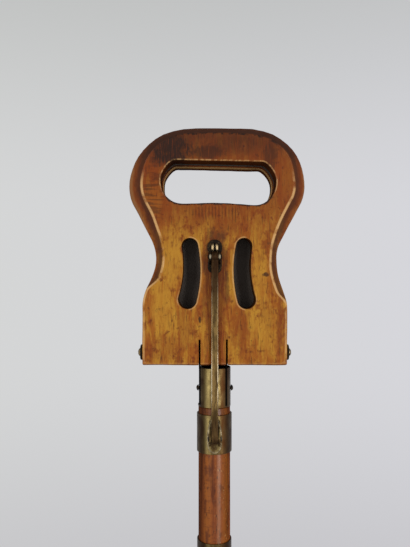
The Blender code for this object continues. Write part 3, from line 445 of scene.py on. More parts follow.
class StageColours(bpy.types.PropertyGroup):
    """Tones of the backdrop, the floor and the room's light."""

    backdrop_left: tint("Left", "Backdrop's left side", (212, 213, 213))
    backdrop_right: tint("Right", "Backdrop's right side", (214, 214, 219))
    backdrop_top: tint("Top", "Backdrop's top", (180, 182, 180))
    backdrop_foot: tint("Foot", "Backdrop's foot", (188, 187, 191))
    floor: tint("Floor", "The floor", (214, 214, 214))
    room: tint("Room", "Light that falls on the object from all round", (182, 182, 182))


class StickSeatSettings(bpy.types.PropertyGroup):
    """All sizes and colours of the stick seat."""

    board: PointerProperty(type=BoardSizes)
    hole: PointerProperty(type=HandHoleSizes)
    slot: PointerProperty(type=SlotSizes)
    lining: PointerProperty(type=LiningSizes)
    fitting: PointerProperty(type=FittingSizes)
    strut: PointerProperty(type=StrutSizes)
    stick: PointerProperty(type=StickSizes)
    wood: PointerProperty(type=WoodColours)
    metal: PointerProperty(type=MetalColours)
    stage: PointerProperty(type=StageColours)


def settings():
    return bpy.context.scene.stick_seat


class Value:
    """A number or colour that varies over a surface; its operators add Math nodes."""

    def __init__(self, finish, socket):
        self.finish = finish
        self.socket = socket

    def math(self, operation, *terms):
        return self.finish.node("ShaderNodeMath", {"operation": operation}, dict(enumerate(terms)))

    def __add__(self, other):
        return self.math("ADD", self, other)

    def __radd__(self, other):
        return self.math("ADD", other, self)

    def __sub__(self, other):
        return self.math("SUBTRACT", self, other)

    def __rsub__(self, other):
        return self.math("SUBTRACT", other, self)

    def __mul__(self, other):
        return self.math("MULTIPLY", self, other)

    def __rmul__(self, other):
        return self.math("MULTIPLY", other, self)

    def __abs__(self):
        return self.math("ABSOLUTE", self)

    def capped(self, limit=1.0):
        return self.math("MINIMUM", self, limit)


class Painting:
    """Nodes in the making and the shader that they feed."""

    def __init__(self, tree, shader):
        self.tree = tree
        self.shader = tree.nodes[shader]

    def node(self, kind, options=None, sockets=None, output=0):
        """Add a node: its options first, then values or links for its sockets."""
        made = self.tree.nodes.new(kind)
        for name, value in (options or {}).items():
            setattr(made, name, value)
        for key, value in (sockets or {}).items():
            self.feed(made.inputs[key], value)
        return Value(self, made.outputs[output])

    def feed(self, socket, value):
        if isinstance(value, Value):
            self.tree.links.new(value.socket, socket)
        elif socket.type == "RGBA" and len(value) == 3:
            socket.default_value = (*value, 1.0)
        else:
            socket.default_value = value

    def set(self, name, value):
        """Set or feed one socket of the shader."""
        self.feed(self.shader.inputs[name], value)

    def parts(self, place):
        """The three components of a place."""
        return [self.node("ShaderNodeSeparateXYZ", None, {0: place}, output=axis) for axis in "XYZ"]

    def mix(self, share, first, second):
        return self.node("ShaderNodeMix", {"data_type": "RGBA"}, {0: share, 6: first, 7: second}, output=2)

    def rise(self, value, low, high, top=1.0):
        """Smooth rise from 0 at low to top at high."""
        return self.node("ShaderNodeMapRange", {"interpolation_type": "SMOOTHSTEP"},
                         {"Value": value, "From Min": low, "From Max": high, "To Max": top})


class Finish(Painting):
    """A material of the stick seat."""

    def __init__(self, name, roughness, metallic=0.0, gloss=0.5):
        self.material = bpy.data.materials.new(name)
        self.material.use_nodes = True
        super().__init__(self.material.node_tree, "Principled BSDF")
        self.set("Roughness", roughness)
        self.set("Metallic", metallic)
        self.set("Specular IOR Level", gloss)
        self.tone = None

    def lay(self, share, colour):
        """Lay a colour over the tone so far."""
        self.tone = self.mix(share, self.tone, colour)

    def done(self):
        """Give the tone to the shader, and hand the material over."""
        self.set("Base Color", self.tone)
        return self.material

    def place(self, stretch=(1.0, 1.0, 1.0), shift=(0.0, 0.0, 0.0)):
        """The piece's own coordinates in millimetres, stretched and then shifted."""
        own = self.node("ShaderNodeTexCoord", output="Object")
        scale = tuple(MILLIMETRES * part for part in stretch)
        scaled = self.node("ShaderNodeVectorMath", {"operation": "MULTIPLY"}, {0: own, 1: scale})
        return self.node("ShaderNodeVectorMath", {"operation": "ADD"}, {0: scaled, 1: shift})

    def grain(self, stretch, detail=3.0, roughness=0.55, shift=(0.0, 0.0, 0.0), distortion=0.0):
        """Noise whose cells measure one over stretch, in millimetres, each way."""
        sockets = {"Vector": self.place(stretch, shift), "Scale": 1.0, "Detail": detail,
                   "Roughness": roughness, "Distortion": distortion}
        return self.node("ShaderNodeTexNoise", None, sockets)

    def band(self, value, middle, half, soft):
        """1 within half of the middle, fading over soft."""
        return 1.0 - self.rise(abs(value - middle), half, half + soft)

    def blotch(self, x, z, spot, ragged):
        """A soft-edged stain: spot is its middle and its half sizes, in millimetres."""
        middle_x, middle_z, half_x, half_z = spot
        across = (x - middle_x) * (1.0 / half_x)
        along = (z - middle_z) * (1.0 / half_z)
        reach = across * across + along * along + ragged
        return 1.0 - self.rise(reach, 0.25, 1.5)

    def mark(self, name):
        """A value that the mesh keeps at its points."""
        return self.node("ShaderNodeAttribute", {"attribute_name": name}, output="Fac")

    def bump(self, height, distance, strength=1.0):
        """Relief of the height times the distance, in metres."""
        sockets = {"Height": height, "Distance": distance, "Strength": strength}
        self.set("Normal", self.node("ShaderNodeBump", None, sockets))


def turned(profile, steps=LATHE_STEPS, closed=False):
    """Revolve (radius, height) points about Z; a closed profile makes a ring, a point on Z stays one."""
    bm = bmesh.new()
    angles = [math.tau * step / steps for step in range(steps)]
    rings = []
    for radius, height in profile:
        if radius < WELD:
            rings.append([bm.verts.new((0.0, 0.0, height))] * steps)
        else:
            rings.append([bm.verts.new((radius * math.cos(angle), radius * math.sin(angle), height))
                          for angle in angles])
    pairs = list(zip(rings, rings[1:]))
    if closed:
        pairs.append((rings[-1], rings[0]))
    for lower, upper in pairs:
        for step in range(steps):
            corners = (lower[step], lower[step - 1], upper[step - 1], upper[step])
            bm.faces.new(list(dict.fromkeys(corners)))
    return bm


def swung(bm, angle, axis):
    bmesh.ops.rotate(bm, verts=bm.verts, cent=(0, 0, 0), matrix=Matrix.Rotation(angle, 3, axis))
    return bm


def along_x(bm):
    """Lay a body turned about Z along +X."""
    return swung(bm, QUARTER, "Y")


def outward_y(bm):
    """Lay a body turned about Z so that its top faces -Y."""
    return swung(bm, QUARTER, "X")


def moved(bm, offset):
    bmesh.ops.translate(bm, verts=bm.verts, vec=offset)
    return bm


def bar(radius, start, end, steps=SMALL_STEPS):
    """A plain round cutter about Z."""
    return turned([(0, start), (radius, start), (radius, end), (0, end)], steps)


def block(low, high):
    bm = bmesh.new()
    size = [top - bottom for bottom, top in zip(low, high)]
    middle = [(top + bottom) / 2 for bottom, top in zip(low, high)]
    bmesh.ops.create_cube(bm, size=1.0, matrix=Matrix.Translation(middle) @ Matrix.Diagonal((*size, 1.0)))
    return bm


def rounded(corners, steps=ROUNDING_STEPS):
    """Points of a profile through (u, v, radius) corners, each corner rounded to its radius."""
    points = []
    for index, (u, v, radius) in enumerate(corners):
        corner = Vector((u, v))
        if radius == 0.0 or index in (0, len(corners) - 1):
            points.append(corner)
            continue
        before = (Vector(corners[index - 1][:2]) - corner).normalized()
        after = (Vector(corners[index + 1][:2]) - corner).normalized()
        half = before.angle(after) / 2
        middle = corner + (before + after).normalized() * radius / math.sin(half)
        spoke = corner + before * radius / math.tan(half) - middle
        sweep = math.copysign(math.pi - 2 * half, before.cross(after))
        for step in range(steps + 1):
            points.append(middle + Matrix.Rotation(-sweep * step / steps, 2) @ spoke)
    return points


def closed_ring(corners, steps=ROUNDING_STEPS):
    """Rounded profile of a ring: every corner, the first and last too, has its radius."""
    looped = [corners[-1], *corners, corners[0]]
    return rounded(looped, steps)[1:-1]


def curve(spans, steps=CURVE_STEPS):
    """Points along joined Bezier spans of four knots each; a span of two knots is straight."""
    points = []
    for span in spans:
        spots = [Vector(spot).to_3d() for spot in span]
        if len(spots) == 4:
            points += [spot.to_2d() for spot in interpolate_bezier(*spots, steps + 1)[:-1]]
        else:
            points.append(spots[0].to_2d())
    return points


def mirrored(half):
    """Close a right-hand half outline, given from the bottom up, with its mirror image."""
    return half + [Vector((-point.x, point.y)) for point in reversed(half)]


def evenly(outline, step=OUTLINE_STEP):
    """Divide an outline's long stretches so that no step is longer than the one given."""
    points = []
    for index, point in enumerate(outline):
        after = outline[(index + 1) % len(outline)]
        count = max(1, math.ceil((after - point).length / step))
        points += [point.lerp(after, share / count) for share in range(count)]
    return points


def outward_normals(outline):
    """Unit normals of a closed outline that runs anticlockwise."""
    normals = []
    for index, point in enumerate(outline):
        ahead = (outline[(index + 1) % len(outline)] - point).normalized()
        behind = (point - outline[index - 1]).normalized()
        along = ahead + behind
        normals.append(Vector((along.y, -along.x)).normalized())
    return normals


def strayed(outline, amount, cell, seed):
    """An outline as a hand would cut it: each point moved out or in by smooth noise."""
    normals = outward_normals(outline)
    return [point + normal * amount * noise.noise(Vector((point.x / cell, point.y / cell, seed)))
            for point, normal in zip(outline, normals)]


def facing_y(spot, level):
    return (spot.x, level, spot.y)


def facing_x(spot, level):
    return (level, spot.x, spot.y)


def lofted(outline, profile, place=facing_y):
    """Solid between two faces; profile gives each outline point's (depth, growth) steps."""
    bm = bmesh.new()
    columns = []
    for point, normal in zip(outline, outward_normals(outline)):
        steps = profile(point) if callable(profile) else profile
        columns.append([bm.verts.new(place(point + normal * growth, depth)) for depth, growth in steps])
    for index, column in enumerate(columns):
        after = columns[(index + 1) % len(columns)]
        for level in range(len(column) - 1):
            bm.faces.new((column[level], after[level], after[level + 1], column[level + 1]))
    bm.faces.new([column[0] for column in columns])
    bm.faces.new([column[-1] for column in reversed(columns)])
    return bm


def slab(outline, near, far, radius, place=facing_y):
    """A plate between two depths with both edges rounded."""
    inset = -EDGE_TAIL * radius
    corners = [(near, inset, 0.0), (near, 0.0, radius), (far, 0.0, radius), (far, inset, 0.0)]
    return lofted(outline, [tuple(point) for point in rounded(corners)], place)


def mouthed_cutter(outline, half, outer, inner):
    """Cutter through a board whose hole comes out with rounded edges of the two radii."""
    span = QUARTER - MOUTH_START
    steps = [MOUTH_START + span * step / ROUNDING_STEPS for step in range(ROUNDING_STEPS + 1)]
    outward = [(outer * (1 - math.cos(turn)) - half, outer * (1 - math.sin(turn))) for turn in steps]
    inward = [(half - inner * (1 - math.cos(turn)), inner * (1 - math.sin(turn)))
              for turn in reversed(steps)]
    ends = (-half - CUT_REACH, outward[0][1]), (half + CUT_REACH, inward[-1][1])
    return lofted(outline, [ends[0], *outward, *inward, ends[1]])


def eased(value, start, run):
    """Smooth rise from 0 to 1 over the run that follows start."""
    share = min(max((value - start) / run, 0.0), 1.0)
    return share * share * (3.0 - 2.0 * share)


def tidied(bm):
    """Merge doubled points, and turn every face outwards."""
    bmesh.ops.remove_doubles(bm, verts=bm.verts, dist=WELD)
    bmesh.ops.recalc_face_normals(bm, faces=bm.faces)
    return bm


def linked(bm, name="helper"):
    """Link a shape to the scene as it is."""
    mesh = bpy.data.meshes.new(name)
    tidied(bm).to_mesh(mesh)
    bm.free()
    made = bpy.data.objects.new(name, mesh)
    bpy.context.scene.collection.objects.link(made)
    return made


def evaluated(made, others=()):
    """The shape of an object after its modifiers; the object and its helpers are removed."""
    bpy.context.view_layer.update()
    shape = made.evaluated_get(bpy.context.evaluated_depsgraph_get())
    bm = bmesh.new()
    bm.from_mesh(shape.to_mesh())
    shape.to_mesh_clear()
    for item in (made, *others):
        bpy.data.objects.remove(item, do_unlink=True)
    return bm


def carved(bm, operands, operation="DIFFERENCE"):
    """Cut the operands from a shape, or join them to it."""
    target = linked(bm)
    helpers = [linked(operand) for operand in operands]
    for helper in helpers:
        modifier = target.modifiers.new("carve", "BOOLEAN")
        modifier.operation = operation
        modifier.solver = "EXACT"
        modifier.object = helper
    return evaluated(target, helpers)


def gridded(bm, step, low, high):
    """Slice a shape on a grid across X and Z, so that its flat faces can be worked."""
    for axis, normal in ((0, (1, 0, 0)), (2, (0, 0, 1))):
        count = int((high[axis] - low[axis]) / step)
        for line in range(1, count + 1):
            spot = [0.0, 0.0, 0.0]
            spot[axis] = low[axis] + line * step
            geometry = bm.verts[:] + bm.edges[:] + bm.faces[:]
            bmesh.ops.bisect_plane(bm, geom=geometry, dist=WELD, plane_co=spot, plane_no=normal)
    return bm


def roughened(bm, amount, cell, seed, share=None):
    """Move the points along their normals by smooth noise, as tools and wear do."""
    bm.normal_update()
    offset = Vector((seed, -seed, seed / 2))
    for vert in bm.verts:
        part = share(vert.co) if share else 1.0
        vert.co += vert.normal * amount * part * noise.noise(vert.co / cell + offset)
    return bm


def outline_depths(outline, spots):
    """How far spots in the outline's plane lie inside it; outside is negative."""
    start = np.array([tuple(point) for point in outline])
    along = np.roll(start, -1, axis=0) - start
    along[:, 1] += np.where(along[:, 1] == 0.0, LEVEL_NUDGE, 0.0)
    depths = []
    for chunk in np.array_split(spots, max(1, len(spots) // SPOTS_AT_ONCE)):
        offset = chunk[:, None, :] - start
        share = np.clip((offset * along).sum(2) / (along ** 2).sum(1), 0.0, 1.0)
        nearest = np.linalg.norm(offset - share[..., None] * along, axis=2).min(1)
        rise = offset[:, :, 1] / along[:, 1]
        crossed = (rise >= 0.0) & (rise < 1.0) & (offset[:, :, 0] < rise * along[:, 0])
        depths.append(np.where(crossed.sum(1) % 2 == 1, nearest, -nearest))
    return np.concatenate(depths)


def piece(name, bm, finish, body, stands_for, location=(0, 0, 0), rotation=(0, 0, 0)):
    """Link a finished shape, and let it ride on its body in place of its CAD nodes."""
    made = linked(bm, name)
    made.data.shade_smooth()
    made.data.set_sharp_from_angle(angle=SHARP_ANGLE)
    made.data.materials.append(finish)
    made.location = location
    made.rotation_euler = rotation
    level = made.modifiers.new("even_normals", "WEIGHTED_NORMAL")
    level.keep_sharp = True
    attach(made, body)
    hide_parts(*stands_for)
    return made


def sway(height):
    """How far a board's middle line lies to the right at a height above the rod."""
    shift = BOARD_SWAY[0][1]
    for (low, start), (high, end) in zip(BOARD_SWAY, BOARD_SWAY[1:]):
        shift += (end - start) * eased(height, low, high - low)
    return shift


def board_outline(mirror):
    """The boards' outline: square base, narrow waist and broad round head."""
    sizes = settings().board
    base, waist, head = sizes.base_width / 2, sizes.waist_width / 2, sizes.head_width / 2
    flat, corner, foot = sizes.top_flat / 2, sizes.foot_corner, -sizes.tail
    low = Vector((waist + FLANK_LOW[0], sizes.waist_rise + FLANK_LOW[1]))
    high = Vector((head - FLANK_HIGH[0], sizes.head_rise - FLANK_HIGH[1]))
    flank = (high - low).normalized()
    low_handle = low - flank * FLANK_LOW[1] / 3
    high_handle = high + flank * FLANK_HIGH[1] / 3
    fall = sizes.waist_rise - sizes.shoulder_rise
    crown = sizes.top - sizes.head_rise
    spans = [
        ((base - corner, foot), (base - corner / 2, foot), (base, foot + corner / 2), (base, foot + corner)),
        ((base, foot + corner), (base, sizes.shoulder_rise)),
        ((base, sizes.shoulder_rise), (base, sizes.shoulder_rise + fall * SHOULDER_HANDLE),
         (waist, sizes.waist_rise - fall * WAIST_HANDLES[0]), (waist, sizes.waist_rise)),
        ((waist, sizes.waist_rise), (waist, sizes.waist_rise + FLANK_LOW[1] * WAIST_HANDLES[1]),
         low_handle, low),
        (low, high),
        (high, high_handle, (head, sizes.head_rise - FLANK_HIGH[1] / 3), (head, sizes.head_rise)),
        ((head, sizes.head_rise), (head, sizes.head_rise + crown * HEAD_HANDLE),
         (flat + (head - flat) * CROWN_HANDLE, sizes.top), (flat, sizes.top)),
        ((flat, sizes.top), (0.0, sizes.top)),
    ]
    even = evenly(mirrored(curve(spans)))
    return [Vector((point.x + mirror * sway(point.y), point.y)) for point in even]


def chamfer_width(point):
    """The outer face's chamfer: broad beside the head, narrower at the waist and top, stopped below."""
    sizes = settings().board
    stop = sizes.stop_left if point.x < 0 else sizes.stop_right
    spread = eased(point.y, sizes.waist_rise, CHAMFER_SPREAD)
    full = sizes.chamfer_waist + (sizes.chamfer_head - sizes.chamfer_waist) * spread
    full *= LEFT_CHAMFER if point.x < 0 else 1.0
    full += (sizes.chamfer_top - full) * eased(point.y, sizes.head_rise, sizes.top - sizes.head_rise)
    spot = Vector((point.x, point.y, CHAMFER_STRAY_CELL)) / CHAMFER_STRAY_CELL
    stray = noise.noise(spot) * 2.0 * sizes.unevenness
    grown = eased(point.y, stop, sizes.run_out)
    return sizes.edge + (full + stray - sizes.edge) * grown


def hole_outline(mirror):
    """The hand hole: slanting upper corners, round lower ones and a slightly arched lower edge."""
    sizes = settings().hole
    side = sizes.width / 2
    low = side - sizes.corner_in
    arch = sizes.bottom + sizes.arch
    corner = sizes.bottom + sizes.corner_up
    shoulder = (side, sizes.top - sizes.shoulder_down)
    crown = (side - sizes.shoulder_in, sizes.top)
    spans = [
        ((0.0, arch), (low * HOLE_ARCH_HANDLES[0], arch),
         (low * HOLE_ARCH_HANDLES[1], sizes.bottom), (low, sizes.bottom)),
        ((low, sizes.bottom), (low + sizes.corner_in * HOLE_CORNER_HANDLE, sizes.bottom),
         (side, corner - sizes.corner_up * HOLE_CORNER_HANDLE), (side, corner)),
        ((side, corner), shoulder),
        (shoulder, (side, shoulder[1] + sizes.shoulder_down * HOLE_SHOULDER_HANDLE),
         (crown[0] + sizes.shoulder_in * HOLE_SHOULDER_HANDLE, sizes.top), crown),
        (crown, (0.0, sizes.top)),
    ]
    middle = Vector((0.0, (sizes.bottom + sizes.top) / 2))
    place = middle + Vector((mirror * sizes.shift, 0.0))
    turn = Matrix.Rotation(mirror * sizes.tilt, 2)
    return evenly([place + turn @ (point - middle) for point in mirrored(curve(spans))[1:]])


def slot_outline(hand, mirror):
    """A curved slot, bowed towards the strut, with round ends."""
    sizes = settings().slot
    top, foot = Vector((sizes.top_out, sizes.top_rise)), Vector((sizes.foot_out, sizes.foot_rise))
    chord = top - foot
    bow = Vector((-chord.y, chord.x)).normalized() * sizes.bow * 4.0
    right, left = [], []
    for step in range(CURVE_STEPS + 1):
        share = step / CURVE_STEPS
        middle = foot + chord * share + bow * share * (1.0 - share)
        reach = sizes.foot_radius + (sizes.top_radius - sizes.foot_radius) * share
        slope = (chord + bow * (1.0 - 2.0 * share)).normalized()
        across = Vector((slope.y, -slope.x))
        right.append(middle + across * reach)
        left.append(middle - across * reach)
    ends = []
    for middle, rim in ((top, right[-1]), (foot, left[0])):
        ends.append([middle + Matrix.Rotation(math.pi * step / (2 * ARC_STEPS), 2) @ (rim - middle)
                     for step in range(1, 2 * ARC_STEPS)])
    outline = right + ends[0] + left[::-1] + ends[1]
    if hand < 0:
        outline = [Vector((-point.x, point.y)) for point in reversed(outline)]
    shift = Vector((mirror * sizes.shift, 0.0))
    return evenly([point + shift for point in outline])


def board_profile(point):
    """Section of the board's edge at an outline point, from the outer face to the inner one."""
    sizes = settings().board
    half = sizes.thickness / 2
    width = chamfer_width(point)
    soft = min(sizes.ridge, width)
    corners = [
        (-half, -width - PROFILE_TAIL * soft, 0.0),
        (-half, -width, soft),
        (width * CHAMFER_SLOPE - half, 0.0, soft),
        (half, 0.0, sizes.edge),
        (half, -EDGE_TAIL * sizes.edge, 0.0),
    ]
    return [tuple(step) for step in rounded(corners)]


def fold_place(mirror):
    """Where a board's hinge rod lies: the origin of everything that its board carries."""
    return (0.0, mirror * ROD_MIDDLE[1], ROD_MIDDLE[2])


def strut_line():
    """The strut's length from pin to pin and its lean towards the shaft, at rest."""
    across = CLEVIS_PIN_MIDDLE[1] - LUG_PIN_MIDDLE[1]
    down = LUG_PIN_MIDDLE[2] - CLEVIS_PIN_MIDDLE[2]
    return math.hypot(across, down), math.atan2(across, down)


def lug_pin_place():
    """The lug's pin, measured from the hinge rod."""
    return (0.0, LUG_PIN_MIDDLE[1] - ROD_MIDDLE[1], LUG_PIN_MIDDLE[2] - ROD_MIDDLE[2])


def groove_cutter():
    """A round-bottomed groove that makes room for the folded strut at the foot of the board."""
    sizes = settings().strut
    span, lean = strut_line()
    edge_rise = GROOVE_RADIUS - math.sqrt(GROOVE_RADIUS ** 2 - (sizes.width / 2) ** 2)
    shift = sizes.depth / 2 + FIT_GAP + edge_rise - GROOVE_RADIUS
    groove = moved(bar(GROOVE_RADIUS, -span, 0.0, LATHE_STEPS), (0.0, shift, 0.0))
    return moved(swung(groove, lean, "X"), lug_pin_place())


def saw_kerf(edges, reach, foot):
    """A saw cut that runs out higher on the outer face than on the inner one."""
    outline = [Vector((-reach, foot)), Vector((reach, foot)), Vector((reach, KERF_INNER_RISE)),
               Vector((-reach, KERF_RISE))]
    return lofted(outline, [(edges[0], 0.0), (edges[1], 0.0)], facing_x)


def board_cutters(mirror):
    """Hand hole, slots, saw cuts, rod bore and strut groove."""
    sizes = settings()
    half = sizes.board.thickness / 2
    cutters = [
        mouthed_cutter(strayed(hole_outline(mirror), sizes.board.unevenness, HOLE_STRAY_CELL, mirror),
                       half, sizes.hole.mouth, sizes.board.edge),
        along_x(bar(sizes.fitting.rod + FIT_GAP, -sizes.board.base_width, sizes.board.base_width)),
        groove_cutter(),
    ]
    for hand, _ in HANDS:
        outline = strayed(slot_outline(hand, mirror), sizes.board.unevenness, HOLE_STRAY_CELL, hand)
        cutters.append(mouthed_cutter(outline, half, sizes.slot.mouth, sizes.board.edge))
    for low, high in CHEEKS:
        edges = sorted((mirror * (low - SNUG_GAP), mirror * (high + SNUG_GAP)))
        cutters.append(saw_kerf(edges, half + CUT_REACH, -sizes.board.tail - CUT_REACH))
    return cutters


def keep_marks(made, marks):
    """Store distances in metres at the points of a mesh, as millimetres that a finish can read."""
    for name, distances in marks.items():
        kept = made.data.attributes.new(name, "FLOAT", "POINT")
        kept.data.foreach_set("value", (distances * MILLIMETRES).astype(np.float32))


def flat_spots(verts):
    return np.array([(vert.co.x, vert.co.z) for vert in verts])


def mark_board(made, mirror):
    """Keep how far each point lies from the chamfer's ridge, the hand hole and the slots."""
    spots = flat_spots(made.data.vertices)
    widths = np.array([chamfer_width(Vector(spot)) for spot in spots])
    slots = [-outline_depths(slot_outline(hand, mirror), spots) for hand, _ in HANDS]
    inset = outline_depths(board_outline(mirror), spots) - widths
    from_hole = -outline_depths(hole_outline(mirror), spots)
    keep_marks(made, dict(zip(BOARD_MARKS, (inset, from_hole, np.minimum(*slots)))))


def clear_of_cheeks(spot):
    """No tool marks where the cheek plates turn in their saw cuts."""
    return 0.0 if spot.z < KERF_RISE and abs(spot.x) < CHEEK_REACH else 1.0


def make_board(side, turn, mirror, finish):
    """A seat board, worked over by hand: hole, slots, saw cuts, groove and worn edges."""
    sizes = settings().board
    outline = strayed(board_outline(mirror), sizes.unevenness, OUTLINE_STRAY_CELL, mirror)
    shape = carved(lofted(outline, board_profile), board_cutters(mirror))
    low = (-sizes.head_width, 0.0, -sizes.tail)
    high = (sizes.head_width, 0.0, sizes.top)
    shape = roughened(gridded(shape, GRID_STEP, low, high), sizes.unevenness, TOOL_CELL, mirror * 3.0,
                      clear_of_cheeks)
    made = piece(f"{side}_board_carved", shape, finish, f"{side}_board", (f"{side}_board",),
                 fold_place(mirror), (0.0, 0.0, turn))
    mark_board(made, mirror)


def make_lining(side, turn, mirror, finish):
    """Leather glued to the board's inner face, sunk a little over the slots."""
    sizes = settings()
    lining = sizes.lining
    near = sizes.board.thickness / 2 + FIT_GAP
    far = near + lining.thickness
    outer = -lining.margin
    inner = outer - EDGE_TAIL * lining.edge
    corners = [(near, inner, 0.0), (near, outer, lining.edge / 2), (far, outer, lining.edge),
               (far, inner, 0.0)]
    shape = lofted(board_outline(mirror), [tuple(step) for step in rounded(corners)])
    low, high, reach = near - CUT_REACH, far + CUT_REACH, sizes.board.head_width
    opening = lofted(hole_outline(mirror), [(low, lining.margin), (high, lining.margin)])
    hinge = block((-reach, low, -reach), (reach, high, lining.start))
    shape = carved(shape, [opening, hinge])
    shape = gridded(shape, GRID_STEP, (-reach, 0.0, 0.0), (reach, 0.0, sizes.board.top))
    bmesh.ops.remove_doubles(shape, verts=shape.verts, dist=WELD)
    spots = flat_spots(shape.verts)
    inside = np.maximum(*[outline_depths(slot_outline(hand, mirror), spots) for hand, _ in HANDS])
    for vert, depth in zip(shape.verts, inside):
        vert.co.y -= lining.dent * eased(depth, 0.0, sizes.slot.foot_radius)
    shape = roughened(shape, LEATHER_WAVE, LEATHER_CELL, mirror * 5.0)
    piece(f"{side}_lining_leather", shape, finish, f"{side}_board", (f"{side}_lining",),
          fold_place(mirror), (0.0, 0.0, turn))


def domed(radius, height, base, steps=ARC_STEPS):
    """Profile of a domed head from its rim to its middle, above the height called base."""
    angles = [QUARTER * step / steps for step in range(steps + 1)]
    return [(radius * math.cos(angle), base + height * math.sin(angle)) for angle in angles]


def headed(radius, start, end, heads):
    """A round pin about Z, each head a (radius, height) dome or None for a plain end."""
    foot, top = heads
    lower, upper = [(0, start)], [(0, end)]
    if foot:
        lower = [(across, 2 * start - along) for across, along in reversed(domed(*foot, start))]
    if top:
        upper = domed(*top, end)
    return turned([*lower, (radius, start), (radius, end), *upper], SMALL_STEPS)


def hammered(bm, seed, amount=HAMMER_DENT, cell=HAMMER_CELL):
    """Small dents as a hammer leaves them."""
    return roughened(bm, amount, cell, seed)


def make_rods(side, turn, mirror, finishes):
    """The hinge rod with hammered ends over a washer at each side of the board."""
    steel, iron = finishes
    sizes = settings().fitting
    seat = settings().board.base_width / 2 + FIT_GAP
    end = seat + sizes.washer_thickness + FIT_GAP
    head = (sizes.rod_head, sizes.rod_dome)
    rod = hammered(along_x(headed(sizes.rod, -end, end, (head, head))), mirror)
    place, rotation = fold_place(mirror), (0.0, 0.0, turn)
    piece(f"{side}_hinge_rod_peened", rod, steel, f"{side}_board", (f"{side}_hinge_rod",),
          place, rotation)
    for hand, label in HANDS:
        bore, thick, edge = sizes.rod + FIT_GAP, sizes.washer_thickness, sizes.washer_thickness / 4
        ring = closed_ring([(bore, 0.0, edge / 2), (sizes.washer, 0.0, edge),
                            (sizes.washer, thick, WASHER_CROWN * edge), (bore, thick, edge / 2)])
        washer = along_x(turned(ring, LATHE_STEPS, closed=True))
        if hand < 0:
            swung(washer, math.pi, "Z")
        washer = moved(hammered(washer, hand, WASHER_DENT, WASHER_CELL), (hand * seat, 0, 0))
        piece(f"{side}_washer_{label}_dished", washer, iron, f"{side}_board", (f"{side}_washer_{label}",),
              place, rotation)


def lug_outline():
    """The lug's plate, measured from its pin: two lobes with a slight waist between them."""
    sizes = settings().fitting
    upper, lower = SCREW_RISES["upper"], SCREW_RISES["lower"]
    below, above = (lower + LUG_WAIST_RISE) / 2, (LUG_WAIST_RISE + upper) / 2
    foot, waist, top = sizes.plate_foot_half, sizes.plate_waist_half, sizes.plate_top_half
    spans = [
        ((0.0, -sizes.plate_foot), (foot * LUG_ROUNDING, -sizes.plate_foot),
         (foot, lower - (lower + sizes.plate_foot) * LUG_ROUNDING), (foot, lower)),
        ((foot, lower), (foot, below), (waist, below), (waist, LUG_WAIST_RISE)),
        ((waist, LUG_WAIST_RISE), (waist, above), (top, above), (top, upper)),
        ((top, upper), (top, upper + (sizes.plate_top - upper) * LUG_ROUNDING),
         (top * LUG_ROUNDING, sizes.plate_top), (0.0, sizes.plate_top)),
    ]
    return mirrored(curve(spans, ARC_STEPS))[1:]


def tangent_angle(spot, radius, hand):
    """Direction from a circle's middle to where a line from the spot touches it."""
    return math.atan2(spot.y, spot.x) + hand * math.acos(min(radius / spot.length, 1.0))


def ears(root, tails):
    """Two ears round a pin at the origin, rooted at two heights of their base, noses to -Y."""
    sizes = settings().fitting
    low, high = (Vector((root, tail)) for tail in tails)
    start = tangent_angle(high, sizes.ear, 1.0)
    end = tangent_angle(low, sizes.ear, -1.0)
    if end < start:
        end += math.tau
    nose = []
    for step in range(4 * ARC_STEPS + 1):
        angle = start + (end - start) * step / (4 * ARC_STEPS)
        nose.append(Vector((sizes.ear * math.cos(angle), sizes.ear * math.sin(angle))))
    near, far = sizes.ear_gap, sizes.ear_gap + sizes.ear_thickness
    outline = [*nose, low, high]
    return [slab(outline, near, far, EAR_EDGE, facing_x), slab(outline, -far, -near, EAR_EDGE, facing_x)]


def forged(bm, body_parts, cutters):
    """Join parts and cut them, then melt the joints a little as forging and filing do."""
    joined = linked(carved(carved(bm, body_parts, "UNION"), cutters))
    melt = joined.modifiers.new("melt", "REMESH")
    melt.mode = "VOXEL"
    melt.voxel_size = FORGED_VOXEL
    ease = joined.modifiers.new("ease", "SMOOTH")
    ease.factor = FORGED_EASE
    ease.iterations = FORGED_SMOOTHING
    thin = joined.modifiers.new("thin", "DECIMATE")
    thin.ratio = FORGED_SHARE
    return evaluated(joined)


